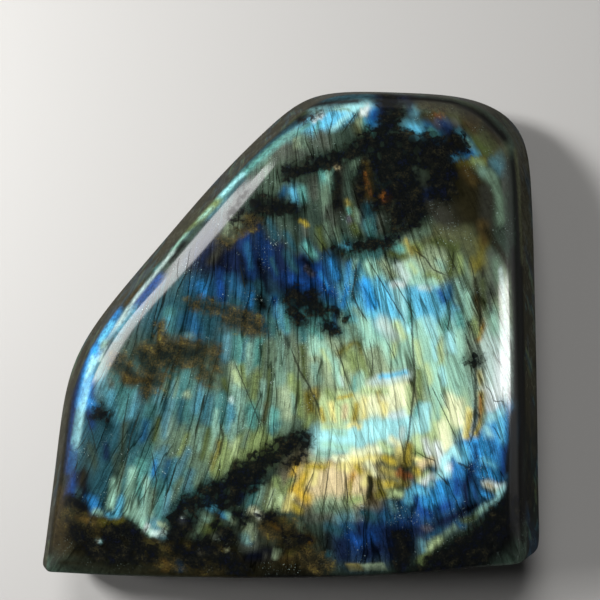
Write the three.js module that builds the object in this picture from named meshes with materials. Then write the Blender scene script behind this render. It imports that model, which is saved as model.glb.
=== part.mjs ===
// A labradorite freeform: one polished stone, about the size of a hand. It lies on its ground back
// with the domed, polished face up. One edge is sawn flat, so that it can also be stood up.
// Millimetres. +Z points up out of the face, +X runs along the sawn foot and the foot faces -Y.
import * as THREE from "three";
import { mergeVertices } from "three/addons/utils/BufferGeometryUtils.js";

// The face is a shallow dome: its highest point, and how fast it falls away to the sides.
const faceHeight = 36;
const domeMiddle = { x: 11.6, y: 59.4 };
const fallAcross = 0.0018;
const fallAlong = 0.0015;
// Hand polishing leaves slow swells in the face.
const swell = { height: 0.3, across: 13, along: 17 };

// The profile of every wall turns about this line, which stands in the middle of the stone.
const middle = { x: 6, y: 58 };

// How the stone's edge is made, from the face down. Each kind of edge holds, in this order:
// girdle  height of the widest place above the surface the stone lies on
// lean    from the girdle to the arris above it, in plan: x, y
// drop    how far that arris lies below the domed face
// turn    length over which the arris is rounded
// bevel   share of the way from the arris to the middle where the face begins to round over
// tuck    from the girdle to the lower arris, in plan: x, y
// lift    height of the lower arris
// rest    share of the way from the lower arris to the middle that stays clear of the surface
const edge = (girdle, lean, drop, turn, bevel, tuck, lift, rest) => ({
  girdle, lean, drop, turn, bevel, tuck, lift, rest,
});
const edges = {
  heel: edge(13.5, [3.4, 0], 1.0, 1.4, 0.1, [2.8, 0], 7.0, 0.3),
  foot: edge(15, [0, 0], 0.1, 1.4, 0.1, [0, 0], 3.5, 0.13),
  toe: edge(14, [-3.4, 0], 2.4, 1.5, 0.12, [-0.8, 0], 3.2, 0.1),
  tip: edge(13, [-7.4, 0.2], 3.7, 2.6, 0.15, [-2.1, 0], 4.0, 0.1),
  right: edge(13, [-7.8, 0.3], 4.7, 3.6, 0.13, [-2.5, 0], 4.5, 0.12),
  corner: edge(12, [-6.3, -3.8], 6.1, 3.6, 0.18, [-2.2, -2], 4.5, 0.15),
  top: edge(12, [0, -3.9], 4.4, 3.0, 0.11, [0, -3], 4.5, 0.16),
  crown: edge(12, [2.6, -5.8], 4.8, 3.1, 0.13, [1, -2.8], 4.6, 0.18),
  slope: edge(12, [5.4, -3.6], 5.0, 3.4, 0.2, [2.1, -2.1], 5.1, 0.24),
  shoulder: edge(12, [6, -1.2], 5.0, 3.3, 0.14, [2.6, -1.1], 5.8, 0.22),
  left: edge(12, [5, -0.1], 4.4, 2.9, 0.13, [3, -0.2], 6.4, 0.23),
  ankle: edge(12.5, [3.8, 0.2], 2.2, 2.0, 0.12, [3, 0], 7.0, 0.28),
};

// The girdle in plan, with the edge made there. The sawn foot is the line y = 0.
const outline = [
  // along the foot, left to right
  ["heel", -64.6, 0],
  ["heel", -60, 0],
  ["foot", -46, 0],
  ["foot", -22, 0],
  ["foot", 4, 0],
  ["foot", 30, 0],
  ["toe", 48, 0],
  ["toe", 60, 0],
  ["tip", 65.4, 0],
  // up the right side
  ["tip", 66, 3.6],
  ["right", 65.9, 15],
  ["right", 66.1, 39.5],
  ["right", 66.2, 68.4],
  ["right", 66.3, 94],
  // round the broad corner and across the top
  ["corner", 65.7, 110.2],
  ["corner", 58.4, 118],
  ["top", 46.4, 121.4],
  ["top", 31.6, 122.3],
  ["top", 14.7, 123.2],
  ["crown", 4.6, 121.5],
  // down the long slope
  ["crown", -5.4, 112.9],
  ["slope", -18.5, 100.6],
  ["slope", -32.8, 84.5],
  ["shoulder", -47.3, 68.5],
  // down the left side
  ["shoulder", -56.1, 56.7],
  ["left", -60, 44.7],
  ["left", -62.3, 29],
  ["ankle", -64.6, 12.4],
  ["ankle", -66.1, 3],
  ["heel", -66.6, 0],
];

// Lengths over which the other corners of the profile are rounded, and the largest share of a
// straight stretch that a rounding takes from either end.
const shoulderTurn = 9;
const girdleTurn = 4.5;
const touchTurn = 4;
const longestCut = 0.46;

// How finely the surface is cut: columns between two outline points, and rows in each stretch.
const columnsPerPoint = 4;
const faceRows = 5;
const bendRows = 4;

// Height of the polished face over a point of the plan.
function dome(x, y) {
  const across = x - domeMiddle.x;
  const along = y - domeMiddle.y;
  const wave = Math.sin(x / swell.across + 0.8) * Math.cos(y / swell.along - 0.5);
  return faceHeight - fallAcross * across ** 2 - fallAlong * along ** 2 + swell.height * wave;
}

// A smooth closed curve led by one number per outline point (a uniform cubic B-spline).
function led(values, at) {
  const count = values.length;
  const i = Math.floor(at);
  const f = at - i;
  const value = (k) => values[(i + k + count) % count];
  return (
    ((1 - f) ** 3 * value(-1) +
      (3 * f ** 3 - 6 * f ** 2 + 4) * value(0) +
      (-3 * f ** 3 + 3 * f ** 2 + 3 * f + 1) * value(1) +
      f ** 3 * value(2)) / 6
  );
}

const between = (from, to, share) => from.map((value, k) => value + (to[k] - value) * share);

// Corner points of the profile at one place of the outline, from the middle of the face over the
// edge to the middle of the back. Each is x, y, height, and the share of the dome in its height.
function profileCorners(at) {
  const plan = (axis) => led(outline.map((point) => point[axis]), at);
  const made = (pick) => led(outline.map(([name]) => pick(edges[name])), at);
  const [x, y] = [plan(1), plan(2)];
  const girdle = [x, y, made((e) => e.girdle), 0];
  const arris = [x + made((e) => e.lean[0]), y + made((e) => e.lean[1]), -made((e) => e.drop), 1];
  const lower = [x + made((e) => e.tuck[0]), y + made((e) => e.tuck[1]), made((e) => e.lift), 0];
  const faceMiddle = [middle.x, middle.y, 0, 1];
  const backMiddle = [middle.x, middle.y, 0, 0];
  const shoulder = between(arris, faceMiddle, made((e) => e.bevel));
  shoulder[2] = 0;
  const touch = between(lower, backMiddle, made((e) => e.rest));
  touch[2] = 0;
  const corners = [faceMiddle, shoulder, arris, girdle, lower, touch, backMiddle];
  return { corners, turn: made((e) => e.turn) };
}

// The profile itself: straight stretches, with each corner cut by a parabola. The cut is as long
// as its corner asks for, and leaves a part of every stretch straight.
function profile(at) {
  const { corners, turn } = profileCorners(at);
  const height = (p) => p[2] + p[3] * dome(p[0], p[1]);
  const distance = (p, q) => Math.hypot(q[0] - p[0], q[1] - p[1], height(q) - height(p));
  const cuts = [0, shoulderTurn, turn, girdleTurn, turn, touchTurn, 0];
  const points = [];
  for (let row = 0; row < faceRows; row++) {
    points.push(between(corners[0], corners[1], row / faceRows));
  }
  for (let k = 1; k < corners.length - 1; k++) {
    const [before, corner, after] = [corners[k - 1], corners[k], corners[k + 1]];
    const start = between(corner, before, Math.min(longestCut, cuts[k] / distance(before, corner)));
    const end = between(corner, after, Math.min(longestCut, cuts[k] / distance(corner, after)));
    for (let row = 0; row <= bendRows; row++) {
      const share = row / bendRows;
      points.push(between(between(start, corner, share), between(corner, end, share), share));
    }
  }
  points.push(corners[corners.length - 1]);
  return points.map((p) => [p[0], p[1], height(p)]);
}

// All profiles side by side, closed at the two middles.
function stoneGeometry() {
  const columns = outline.length * columnsPerPoint;
  const profiles = Array.from({ length: columns }, (_, c) => profile(c / columnsPerPoint));
  const rows = profiles[0].length;
  const positions = profiles.flat(2);
  const faces = [];
  for (let c = 0; c < columns; c++) {
    const next = (c + 1) % columns;
    for (let r = 0; r < rows - 1; r++) {
      const [a, b] = [c * rows + r, c * rows + r + 1];
      const [d, e] = [next * rows + r, next * rows + r + 1];
      if (r > 0) faces.push(a, b, d);
      if (r < rows - 2) faces.push(b, e, d);
    }
  }
  const geometry = new THREE.BufferGeometry();
  geometry.setAttribute("position", new THREE.Float32BufferAttribute(positions, 3));
  geometry.setIndex(faces);
  return mergeVertices(geometry, 1e-4);
}

const polished = new THREE.MeshStandardMaterial({ color: 0x3f5c5c, roughness: 0.12, metalness: 0 });

const geometry = stoneGeometry();
geometry.computeBoundingBox();
const centre = geometry.boundingBox.getCenter(new THREE.Vector3());
geometry.translate(-centre.x, -centre.y, 0);
geometry.computeVertexNormals();

const stone = new THREE.Mesh(geometry, polished);
stone.name = "stone";

const freeform = new THREE.Group();
freeform.add(stone);
export default freeform;
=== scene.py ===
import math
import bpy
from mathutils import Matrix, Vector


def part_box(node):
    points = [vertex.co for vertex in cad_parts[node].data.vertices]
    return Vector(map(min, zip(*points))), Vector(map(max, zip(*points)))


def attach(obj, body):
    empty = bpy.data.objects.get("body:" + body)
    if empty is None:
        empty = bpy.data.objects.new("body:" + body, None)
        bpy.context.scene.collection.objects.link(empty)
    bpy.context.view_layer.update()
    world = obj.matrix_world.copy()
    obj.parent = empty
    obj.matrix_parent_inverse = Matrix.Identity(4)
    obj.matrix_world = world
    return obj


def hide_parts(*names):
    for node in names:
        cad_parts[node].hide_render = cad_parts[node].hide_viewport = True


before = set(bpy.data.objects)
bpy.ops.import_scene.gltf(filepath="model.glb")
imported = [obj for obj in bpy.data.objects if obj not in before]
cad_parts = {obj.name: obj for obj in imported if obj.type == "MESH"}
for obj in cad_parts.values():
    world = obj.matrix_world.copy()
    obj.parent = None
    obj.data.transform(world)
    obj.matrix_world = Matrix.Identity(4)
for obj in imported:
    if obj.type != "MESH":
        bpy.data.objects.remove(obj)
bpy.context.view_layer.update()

# A labradorite freeform: one polished stone, lying on its ground back with the domed face up.
from types import SimpleNamespace

import bpy
import numpy as np

metre = 1000.0  # millimetres in a metre: shapes and markings are laid out in millimetres

# An edge row: girdle height, lean from girdle to arris (x, y), drop of the arris under the face,
# turn of the arris, bevel share, tuck to the lower arris (x, y), its lift, rest share.
shape = {
    "faceHeight": 36.0, "domeMiddle": (11.6, 59.4), "fallAcross": 0.0018, "fallAlong": 0.0015,
    "swell": (0.3, 13.0, 17.0), "swellShift": (0.8, -0.5), "middle": (6.0, 58.0),
    "shoulderTurn": 9.0, "girdleTurn": 4.5, "touchTurn": 4.0, "longestCut": 0.46,
    "columnsPerPoint": 20, "faceRows": 98, "bendRows": (24, 12, 9, 6, 5),
    "edges": {
        "heel": (13.5, 3.4, 0, 1.0, 1.4, 0.1, 2.8, 0, 7.0, 0.3),
        "foot": (15, 0, 0, 0.1, 1.4, 0.1, 0, 0, 3.5, 0.13),
        "toe": (14, -3.4, 0, 2.4, 1.5, 0.12, -0.8, 0, 3.2, 0.1),
        "tip": (13, -7.4, 0.2, 3.7, 2.6, 0.15, -2.1, 0, 4.0, 0.1),
        "right": (13, -7.8, 0.3, 4.7, 3.6, 0.13, -2.5, 0, 4.5, 0.12),
        "corner": (12, -6.3, -3.8, 6.1, 3.6, 0.18, -2.2, -2, 4.5, 0.15),
        "top": (12, 0, -3.9, 4.4, 3.0, 0.11, 0, -3, 4.5, 0.16),
        "crown": (12, 2.6, -5.8, 4.8, 3.1, 0.13, 1, -2.8, 4.6, 0.18),
        "slope": (12, 5.4, -3.6, 5.0, 3.4, 0.2, 2.1, -2.1, 5.1, 0.24),
        "shoulder": (12, 6, -1.2, 5.0, 3.3, 0.14, 2.6, -1.1, 5.8, 0.22),
        "left": (12, 5, -0.1, 4.4, 2.9, 0.13, 3, -0.2, 6.4, 0.23),
        "ankle": (12.5, 3.8, 0.2, 2.2, 2.0, 0.12, 3, 0, 7.0, 0.28),
    },
    # The girdle in plan, from the left end of the sawn foot round to it again.
    "outline": [
        ("heel", -64.6, 0), ("heel", -60, 0), ("foot", -46, 0), ("foot", -22, 0), ("foot", 4, 0),
        ("foot", 30, 0), ("toe", 48, 0), ("toe", 60, 0), ("tip", 65.4, 0), ("tip", 66, 3.6),
        ("right", 65.9, 15), ("right", 66.1, 39.5), ("right", 66.2, 68.4), ("right", 66.3, 94),
        ("corner", 65.7, 110.2), ("corner", 58.4, 118), ("top", 46.4, 121.4), ("top", 31.6, 122.3),
        ("top", 14.7, 123.2), ("crown", 4.6, 121.5), ("crown", -5.4, 112.9), ("slope", -18.5, 100.6),
        ("slope", -32.8, 84.5), ("shoulder", -47.3, 68.5), ("shoulder", -56.1, 56.7),
        ("left", -60, 44.7), ("left", -62.3, 29), ("ankle", -64.6, 12.4), ("ankle", -66.1, 3),
        ("heel", -66.6, 0),
    ],
}


# face height = top - across * (x - mx)^2 - along * (y - my)^2
#   + swell * sin(x / a + shift) * cos(y / b + shift)
def domeHeight(x, y):
    across, along = x - shape["domeMiddle"][0], y - shape["domeMiddle"][1]
    height, a, b = shape["swell"]
    shiftX, shiftY = shape["swellShift"]
    wave = np.sin(x / a + shiftX) * np.cos(y / b + shiftY)
    fall = shape["fallAcross"] * across**2 + shape["fallAlong"] * along**2
    return shape["faceHeight"] - fall + height * wave


# A smooth closed curve led by one value per outline point (a uniform cubic B-spline).
def led(values, at):
    i = np.floor(at).astype(int)
    f = at - i
    near = [np.asarray(values, float)[(i + k) % len(values)] for k in (-1, 0, 1, 2)]
    share = [(1 - f) ** 3, 3 * f**3 - 6 * f**2 + 4, -3 * f**3 + 3 * f**2 + 3 * f + 1, f**3]
    return sum(n * s for n, s in zip(near, share)) / 6


# All profiles as one array (columns, rows, x y z): straight stretches between seven corners, each
# corner cut by a parabola. A corner is x, y, height and its share of the dome. The second result
# is each row's place along the profile: 0 face middle, 2 arris, 3 girdle, 4 lower arris, 6 back.
def stoneSurface():
    outline, edges = shape["outline"], shape["edges"]
    at = np.arange(len(outline) * shape["columnsPerPoint"]) / shape["columnsPerPoint"]
    x, y = led([p[1] for p in outline], at), led([p[2] for p in outline], at)
    made = [led([edges[p[0]][k] for p in outline], at) for k in range(10)]
    girdle, leanX, leanY, drop, turn, bevel, tuckX, tuckY, lift, rest = made
    none, whole = np.zeros_like(x), np.ones_like(x)
    middleX, middleY = (none + m for m in shape["middle"])
    faceMiddle = np.stack([middleX, middleY, none, whole], 1)
    backMiddle = np.stack([middleX, middleY, none, none], 1)
    arris = np.stack([x + leanX, y + leanY, -drop, whole], 1)
    lower = np.stack([x + tuckX, y + tuckY, lift, none], 1)
    shoulder = arris + (faceMiddle - arris) * bevel[:, None]
    shoulder[:, 2] = 0
    touch = lower + (backMiddle - lower) * rest[:, None]
    touch[:, 2] = 0
    corners = [faceMiddle, shoulder, arris, np.stack([x, y, girdle, none], 1), lower, touch, backMiddle]
    cuts = [0, shape["shoulderTurn"], turn, shape["girdleTurn"], turn, shape["touchTurn"], 0]

    def solid(p):
        return np.stack([p[:, 0], p[:, 1], p[:, 2] + p[:, 3] * domeHeight(p[:, 0], p[:, 1])], 1)

    def cutShare(k, other):
        length = np.linalg.norm(solid(corners[k]) - solid(corners[other]), axis=1)
        return np.minimum(shape["longestCut"], cuts[k] / length)[:, None]

    rows, places = [], []
    faceEnd = corners[1] + (corners[0] - corners[1]) * cutShare(1, 0)
    for row in range(shape["faceRows"]):
        share = row / shape["faceRows"]
        rows.append(corners[0] + (faceEnd - corners[0]) * share)
        places.append(share * 0.5)
    for k, steps in enumerate(shape["bendRows"], 1):
        start = corners[k] + (corners[k - 1] - corners[k]) * cutShare(k, k - 1)
        end = corners[k] + (corners[k + 1] - corners[k]) * cutShare(k, k + 1)
        for share in np.linspace(0, 1, steps):
            first = start + (corners[k] - start) * share
            rows.append(first + (corners[k] + (end - corners[k]) * share - first) * share)
            places.append(k - 0.5 + share)
    rows.append(corners[6])
    places.append(6.0)
    return np.stack([solid(p) for p in rows], 1), np.array(places)


# Joins the profiles into one closed mesh, with quads between neighbours and a fan at each middle,
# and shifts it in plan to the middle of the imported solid's box.
def stoneMesh():
    grid, places = stoneSurface()
    columns, rows = grid.shape[:2]
    shell = grid[:, 1:-1].reshape(-1, 3)
    low, high = shell.min(0), shell.max(0)
    boxLow, boxHigh = (np.array(p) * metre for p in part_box("stone"))
    points = np.concatenate([shell, grid[:1, 0], grid[:1, -1]])
    points[:, :2] += ((boxLow + boxHigh) / 2 - (low + high) / 2)[:2]
    ring = rows - 2
    c, r = np.meshgrid(np.arange(columns), np.arange(ring - 1), indexing="ij")
    n = (c + 1) % columns
    quads = np.stack([c * ring + r, c * ring + r + 1, n * ring + r + 1, n * ring + r], -1).reshape(-1, 4)
    c, n = np.arange(columns), (np.arange(columns) + 1) % columns
    top, bottom = len(shell), len(shell) + 1
    topFan = np.stack([np.full(columns, top), c * ring, n * ring], 1)
    bottomFan = np.stack([c * ring + ring - 1, np.full(columns, bottom), n * ring + ring - 1], 1)
    faces = quads.tolist() + topFan.tolist() + bottomFan.tolist()
    mesh = bpy.data.meshes.new("stone_polished")
    mesh.from_pydata((points / metre).tolist(), [], faces)
    mesh.polygons.foreach_set("use_smooth", np.ones(len(faces), bool))
    mesh.update()
    place = np.concatenate([np.tile(places[1:-1], columns), [places[0], places[-1]]])
    return mesh, points, place


# Colours of the flash and of the rock, as 8-bit sRGB.
palette = {
    "night": (10, 13, 24), "navy": (21, 32, 58), "deepBlue": (22, 49, 93), "denim": (34, 79, 111),
    "cobalt": (26, 69, 134), "azure": (44, 122, 184), "cyan": (58, 168, 244), "sky": (103, 196, 234),
    "ice": (172, 238, 243), "steel": (80, 124, 134), "lagoon": (78, 141, 160), "teal": (66, 114, 113),
    "deepTeal": (38, 74, 84), "seaGreen": (92, 156, 148), "celadon": (128, 167, 150),
    "mint": (160, 210, 188), "sage": (98, 122, 102), "darkSage": (54, 70, 60), "moss": (72, 84, 46),
    "fern": (130, 150, 96), "olive": (104, 99, 41), "khaki": (178, 160, 60), "brass": (150, 140, 76),
    "lime": (188, 212, 156), "cream": (242, 248, 203), "lemon": (244, 234, 150), "gold": (224, 188, 70),
    "ochre": (177, 132, 44), "copper": (162, 100, 44), "rust": (142, 88, 48), "peach": (214, 196, 152),
    "mauve": (84, 84, 94), "pearl": (196, 222, 215), "stone": (147, 166, 134), "ash": (76, 84, 74),
    "lichen": (82, 87, 60), "wall": (46, 47, 40), "bark": (62, 52, 28), "umber": (32, 30, 18),
    "ink": (12, 13, 12), "pitch": (5, 6, 6), "white": (236, 250, 250), "shadeGreen": (118, 118, 92),
    "lineGreen": (66, 72, 54), "darkCrack": (20, 22, 14),
}

# The markings in plan, in millimetres from the layout's middle, with the layout turned by an angle.
layout = {"middle": (3.7, 6.9), "turn": 1.5, "reach": 48.5}

# The flash on the face, broad zones first: colour, half width, then the way of the brush as (u, v).
# A few strokes at the edges are painted highlights; each is marked where it stands.
faceStrokes = [
    ("sage", 9, (-4, 40), (2, 34), (4, 22)), ("darkSage", 8, (6, 28), (12, 20), (0, 18)),
    ("umber", 9, (36, 38), (42, 30), (40, 22)), ("wall", 6, (34, 20), (24, 24)),
    ("navy", 8, (-22, 12), (-10, 8), (0, 6)), ("deepTeal", 7, (-34, -4), (-22, -4), (-12, -3)),
    ("deepBlue", 5, (2, 5), (7, 3)), ("deepTeal", 5, (0, -5), (8, -6)), ("teal", 6, (-2, -8), (6, -9)),
    ("ash", 8, (-14, -16), (-2, -16)), ("stone", 7, (4, -15), (22, -12)), ("mint", 5, (18, -7), (25, -8)),
    ("seaGreen", 6, (13, 0), (16, -4)), ("sky", 5.5, (17, 1), (24, 0), (32, -1)),
    ("teal", 4.5, (19, 9), (26, 8)), ("stone", 4.5, (27, 9), (33, 8)),
    ("darkSage", 7, (-44, -17), (-22, -17)), ("teal", 8, (-46, -24), (-22, -26)),
    ("deepTeal", 8, (-48, -32), (-38, -34), (-48, -46)), ("teal", 8, (-36, -46), (-30, -42)),
    ("sage", 6, (-30, -34), (-20, -36)), ("sage", 6, (-18, -20), (-4, -24)),
    ("teal", 5, (-20, -28), (-10, -28)), ("fern", 4.5, (-17, -36), (-10, -34)),
    ("sage", 4, (-4, -22), (-3, -28)), ("mint", 6, (32, -10), (36, -22)),
    ("lime", 5, (36, -27), (31, -33)), ("stone", 5, (46, 4), (46, -14)),
    ("pearl", 4, (47, -10), (47, -22)), ("cyan", 6, (47, -32), (44, -38)),
    ("azure", 6, (34, -48), (44, -43)), ("deepBlue", 6, (14, -58), (24, -55)),
    ("peach", 6, (4, -43), (12, -44)), ("lime", 4, (8, -26), (14, -25)),
    ("cream", 4, (18, -24), (24, -23)), ("ice", 3.4, (6, -33.5), (16, -32), (25, -30)),
    ("umber", 7, (-56, -60), (-20, -63), (0, -65)), ("pitch", 6, (34, -68), (46, -62), (56, -50)),
    # the top, under the short rim
    # The broad ice stroke here is a painted highlight along the top bevel, over the teal flash there.
    ("ice", 2, (0, 46.5), (6, 49.6), (14, 50.6)), ("sky", 2.4, (-2, 41), (4, 43), (10, 45)),
    ("sky", 1.4, (2.6, 43.6), (7, 44), (11.4, 44.2)), ("white", 0.5, (3.4, 43.8), (5.4, 45.2)),
    ("ice", 0.5, (9.8, 43.2), (11.6, 44.8)), ("ice", 1.3, (11, 47), (14, 48.2), (17, 48)),
    ("ice", 0.6, (13, 46.4), (14.6, 48.4)), ("celadon", 0.4, (4, 46), (8, 46.8), (12, 46.6)),
    ("seaGreen", 0.5, (3.6, 40.6), (4.4, 43)), ("ice", 0.5, (8, 41), (10, 43)),
    ("celadon", 1.4, (-4, 39.6), (-1, 40.6)), ("ash", 3.2, (-4, 36), (2, 37)),
    ("sage", 1.2, (0.4, 39.6), (1, 37.4)), ("darkSage", 2.6, (8, 38.4), (5, 35)),
    ("stone", 0.5, (-1.2, 39), (-0.8, 37)), ("ash", 1.4, (5, 40), (6, 37.6)),
    ("darkSage", 2.2, (12, 40), (13, 42)), ("lichen", 1.1, (14, 42.6), (14.4, 41)),
    ("stone", 0.7, (16.4, 47), (15.2, 44.6), (14.6, 43)), ("white", 0.6, (16.2, 47), (15.4, 45.4)),
    ("seaGreen", 1, (16, 43), (16.8, 41)), ("azure", 1.3, (18.4, 46.8), (18, 44.6), (17.3, 43.2)),
    ("cobalt", 0.5, (18.4, 46), (18, 44.4)), ("navy", 1.4, (20, 48.6), (20.3, 45)),
    ("steel", 0.8, (24.6, 43.4), (25.4, 42)), ("lagoon", 1.8, (26.8, 42), (28.6, 41.2), (29.6, 40.4)),
    ("sky", 0.6, (27.2, 41.8), (29, 41)), ("denim", 1.6, (31.6, 42), (33.6, 39.6)),
    ("seaGreen", 0.8, (32, 41), (33, 40)), ("navy", 1.4, (28.4, 49), (27.6, 46)),
    ("steel", 1, (28.6, 46.8), (28, 45.4)), ("teal", 1, (29.8, 50.2), (30.8, 48.4)),
    ("bark", 2, (33, 45.4), (36, 46.4)), ("rust", 0.8, (34.2, 45.4), (35.2, 46.2)),
    ("mauve", 0.7, (33.4, 43.4), (33.8, 42.6)), ("deepBlue", 1.6, (35.6, 43.6), (37, 42.4)),
    ("mauve", 0.8, (38, 44.4), (39, 42.6)),
    # the broad corner
    ("lichen", 3.6, (38, 48), (43, 44.4), (48, 38)), ("sage", 1.6, (30, 48.4), (36, 48.6), (40, 47.6)),
    ("bark", 1.2, (41, 43.6), (43.4, 42)), ("bark", 1.4, (46.6, 43), (49, 39.6)),
    ("moss", 1.4, (43, 39), (46, 36.6)), ("lagoon", 0.7, (38.8, 41.6), (41, 39), (43.4, 35.8)),
    ("celadon", 0.4, (40.6, 39.2), (42.4, 36.8)), ("azure", 0.8, (37, 34.8), (40, 35.5), (42, 36.4)),
    ("lagoon", 0.5, (36.4, 34.4), (40, 34.8)), ("olive", 1, (39.4, 32.8), (43, 33), (45, 34)),
    ("fern", 0.9, (42.4, 34.2), (44.6, 33.4)), ("sage", 1.4, (44, 32.4), (47, 29.6)),
    ("celadon", 0.9, (45, 31.2), (47, 30)), ("sage", 1.3, (46.6, 30.4), (48.6, 26), (48.8, 20)),
    ("sage", 0.6, (47, 29.4), (48.6, 25), (48.8, 19)), ("steel", 1.3, (48.4, 34), (50, 31.6)),
    ("ash", 1, (50.6, 31), (51, 27)), ("umber", 4.5, (39.5, 29), (41.5, 22)),
    ("wall", 1.5, (45.2, 27), (45.4, 18)), ("bark", 1.2, (40, 31.4), (42, 29)),
    ("navy", 1.3, (33.4, 27.4), (30, 25.2)), ("darkSage", 1.6, (29.4, 19), (31, 17.6)),
    # above the middle
    ("steel", 1.5, (-1.6, 26.6), (-0.4, 24.2)), ("denim", 0.9, (-3.6, 26.4), (-4.2, 25)),
    ("seaGreen", 0.8, (0.4, 26.6), (1, 24)), ("sky", 0.6, (-1.8, 26.2), (-1.2, 24)),
    ("ash", 1.2, (3.2, 29), (3.4, 25)), ("seaGreen", 1.3, (6.2, 31), (6.6, 27.6)),
    ("mint", 0.6, (7, 31.2), (7.2, 28.4)), ("sage", 1.4, (6.2, 27), (6, 22)),
    ("wall", 1.6, (9.6, 31), (9, 22)), ("darkSage", 1.6, (12, 30), (12.4, 24.6)),
    ("wall", 1.4, (14.2, 28), (14.4, 20)), ("bark", 1.3, (16, 33), (16.4, 24)),
    ("bark", 0.8, (16, 32), (15.8, 28), (16.8, 24)), ("copper", 0.25, (15.6, 30.6), (15.8, 27)),
    ("rust", 0.25, (16.4, 28), (17, 25)), ("copper", 0.9, (20, 24.6), (20.9, 24.4)),
    ("copper", 0.5, (20.2, 25.2), (20.8, 24.4)), ("seaGreen", 0.3, (20.6, 27.8), (21.6, 28.2)),
    ("stone", 0.35, (21.8, 22.2), (22.6, 23.4)), ("peach", 0.35, (8.3, 32.6), (9, 32)),
    ("sage", 0.5, (13.2, 33), (13, 31.8)), ("moss", 0.8, (11.8, 22.8), (12.2, 20.6)),
    ("seaGreen", 0.35, (11.5, 22.2), (11.9, 21)), ("brass", 0.4, (11.2, 23.8), (11.6, 23)),
    ("sage", 0.35, (13.4, 22), (13.8, 19)), ("mauve", 0.5, (11.6, 19.9), (12.1, 18.6)),
    ("moss", 0.8, (12.6, 18), (13.4, 16.4)), ("deepTeal", 1.3, (16, 22.6), (16.6, 17.6)),
    ("teal", 0.9, (16.4, 19), (16.8, 15.6)), ("ash", 0.7, (19, 20), (19.4, 17)),
    ("darkSage", 2.2, (2.6, 21), (4, 15)), ("ash", 1.5, (7.2, 21), (7.8, 15)),
    ("sage", 0.8, (6.4, 18), (7, 13.4)), ("moss", 0.8, (4.6, 17), (5.6, 12.6)),
    ("darkSage", 1.8, (-4, 19.4), (-1, 13)), ("deepTeal", 0.7, (-7.4, 19), (-6, 14.6)),
    ("deepTeal", 0.8, (-3.4, 15.6), (-1.4, 12.4)), ("teal", 1.1, (1.4, 13), (3.2, 10.4)),
    ("seaGreen", 0.6, (1.6, 12.6), (3, 11)), ("ash", 0.6, (1, 17.4), (1.6, 15.6)),
    ("khaki", 0.35, (0.2, 19), (1, 18.6), (1.6, 17.8)), ("teal", 1.6, (9.8, 13.6), (12, 12.4)),
    ("sky", 0.6, (10, 13.2), (11.6, 12.8)), ("sage", 0.6, (8.6, 17), (9.6, 13.8)),
    # the blue field left of the middle
    ("bark", 1.2, (-13.2, 18.4), (-11.4, 18.8)), ("wall", 2.4, (-18.4, 14.6), (-14.6, 16)),
    ("stone", 1.4, (-15, 20), (-16.8, 16)), ("night", 2.2, (-19.6, 10.6), (-17.6, 7.4)),
    ("navy", 1.4, (-16.4, 11), (-15.4, 4)), ("wall", 1, (-21.4, 9.6), (-19.6, 12)),
    ("navy", 0.8, (-15, 13.6), (-14.3, 12)), ("deepBlue", 1.4, (-12.8, 14.4), (-11.8, 6)),
    ("denim", 0.6, (-12.6, 13), (-11.8, 8)), ("deepBlue", 0.9, (-10.2, 18), (-8.4, 9)),
    ("night", 0.8, (-9.8, 9), (-7.8, 2)), ("deepBlue", 0.8, (-7.8, 13), (-5.6, 5.6)),
    ("deepTeal", 0.4, (-6.8, 10), (-5.6, 6)), ("navy", 1, (-4.8, 12), (-4, 4)),
    ("deepTeal", 0.9, (-3, 11), (-1.4, 7.4)), ("ink", 0.5, (-14.5, 11.4), (-13.2, 5), (-12.2, 2)),
    ("deepTeal", 1.6, (-27.6, 4), (-26.6, 0.6)), ("denim", 2.2, (-25, 3.6), (-21.6, 3)),
    ("azure", 0.7, (-23.8, 3.8), (-23, 1.8)), ("deepBlue", 1.3, (-19.4, 6), (-18.7, 0.8)),
    ("cobalt", 0.5, (-19.2, 4), (-18.9, 1.4)), ("denim", 1.2, (-16.6, 5), (-14.8, 1.6)),
    ("denim", 0.5, (-14.3, 2.6), (-13.7, 0.4)), ("denim", 0.9, (-12, 2.6), (-12.2, -1.6)),
    ("azure", 0.4, (-11.9, 1), (-12, -1.2)), ("deepTeal", 0.8, (-9.8, 3.6), (-8.8, 0.6)),
    ("ink", 1.3, (-9.6, 0.2), (-8.6, -2)), ("deepBlue", 1.2, (-3.4, 5.4), (0, 4)),
    ("cobalt", 0.8, (-1.6, 4.6), (2, 3.2)), ("night", 0.7, (1, 9.8), (3, 6.4)),
    ("cobalt", 1.8, (4.6, 6.4), (7.4, 1)), ("denim", 1.6, (7.2, 9.4), (8.6, 5)),
    ("azure", 0.7, (7.4, 8.8), (8.4, 5.4)), ("azure", 0.4, (5, 6.4), (6.6, 3)),
    ("azure", 0.9, (12.2, 8.4), (11.4, 3), (10.2, -1.6)), ("lagoon", 0.5, (12.6, 9.2), (11.8, 4)),
    ("celadon", 0.4, (13, 9.6), (12.9, 7.8)), ("deepTeal", 0.7, (14.2, 8.6), (12.8, 0)),
    ("mauve", 0.5, (1.6, 7.4), (3, 6.2)), ("denim", 1, (7.2, 0), (8.6, -1.6)),
    ("teal", 2.2, (4, -4.4), (8.6, -6)), ("denim", 0.9, (8.4, -3.6), (9, -7)),
    ("celadon", 0.7, (9.6, -4), (10.4, -6.6)),
    # left of the middle, over and between the brown clouds
    ("teal", 1.1, (-31.6, -3), (-32.2, -8)), ("lagoon", 0.5, (-31.6, -4.6), (-32.4, -7.6)),
    ("denim", 2.2, (-26.4, -5), (-24.4, -7)), ("steel", 0.7, (-28.2, -8.6), (-26, -9)),
    ("deepTeal", 1.4, (-22, -4.6), (-21.8, -8.6)), ("ash", 1.2, (-33.6, -9.6), (-30, -9.8)),
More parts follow.
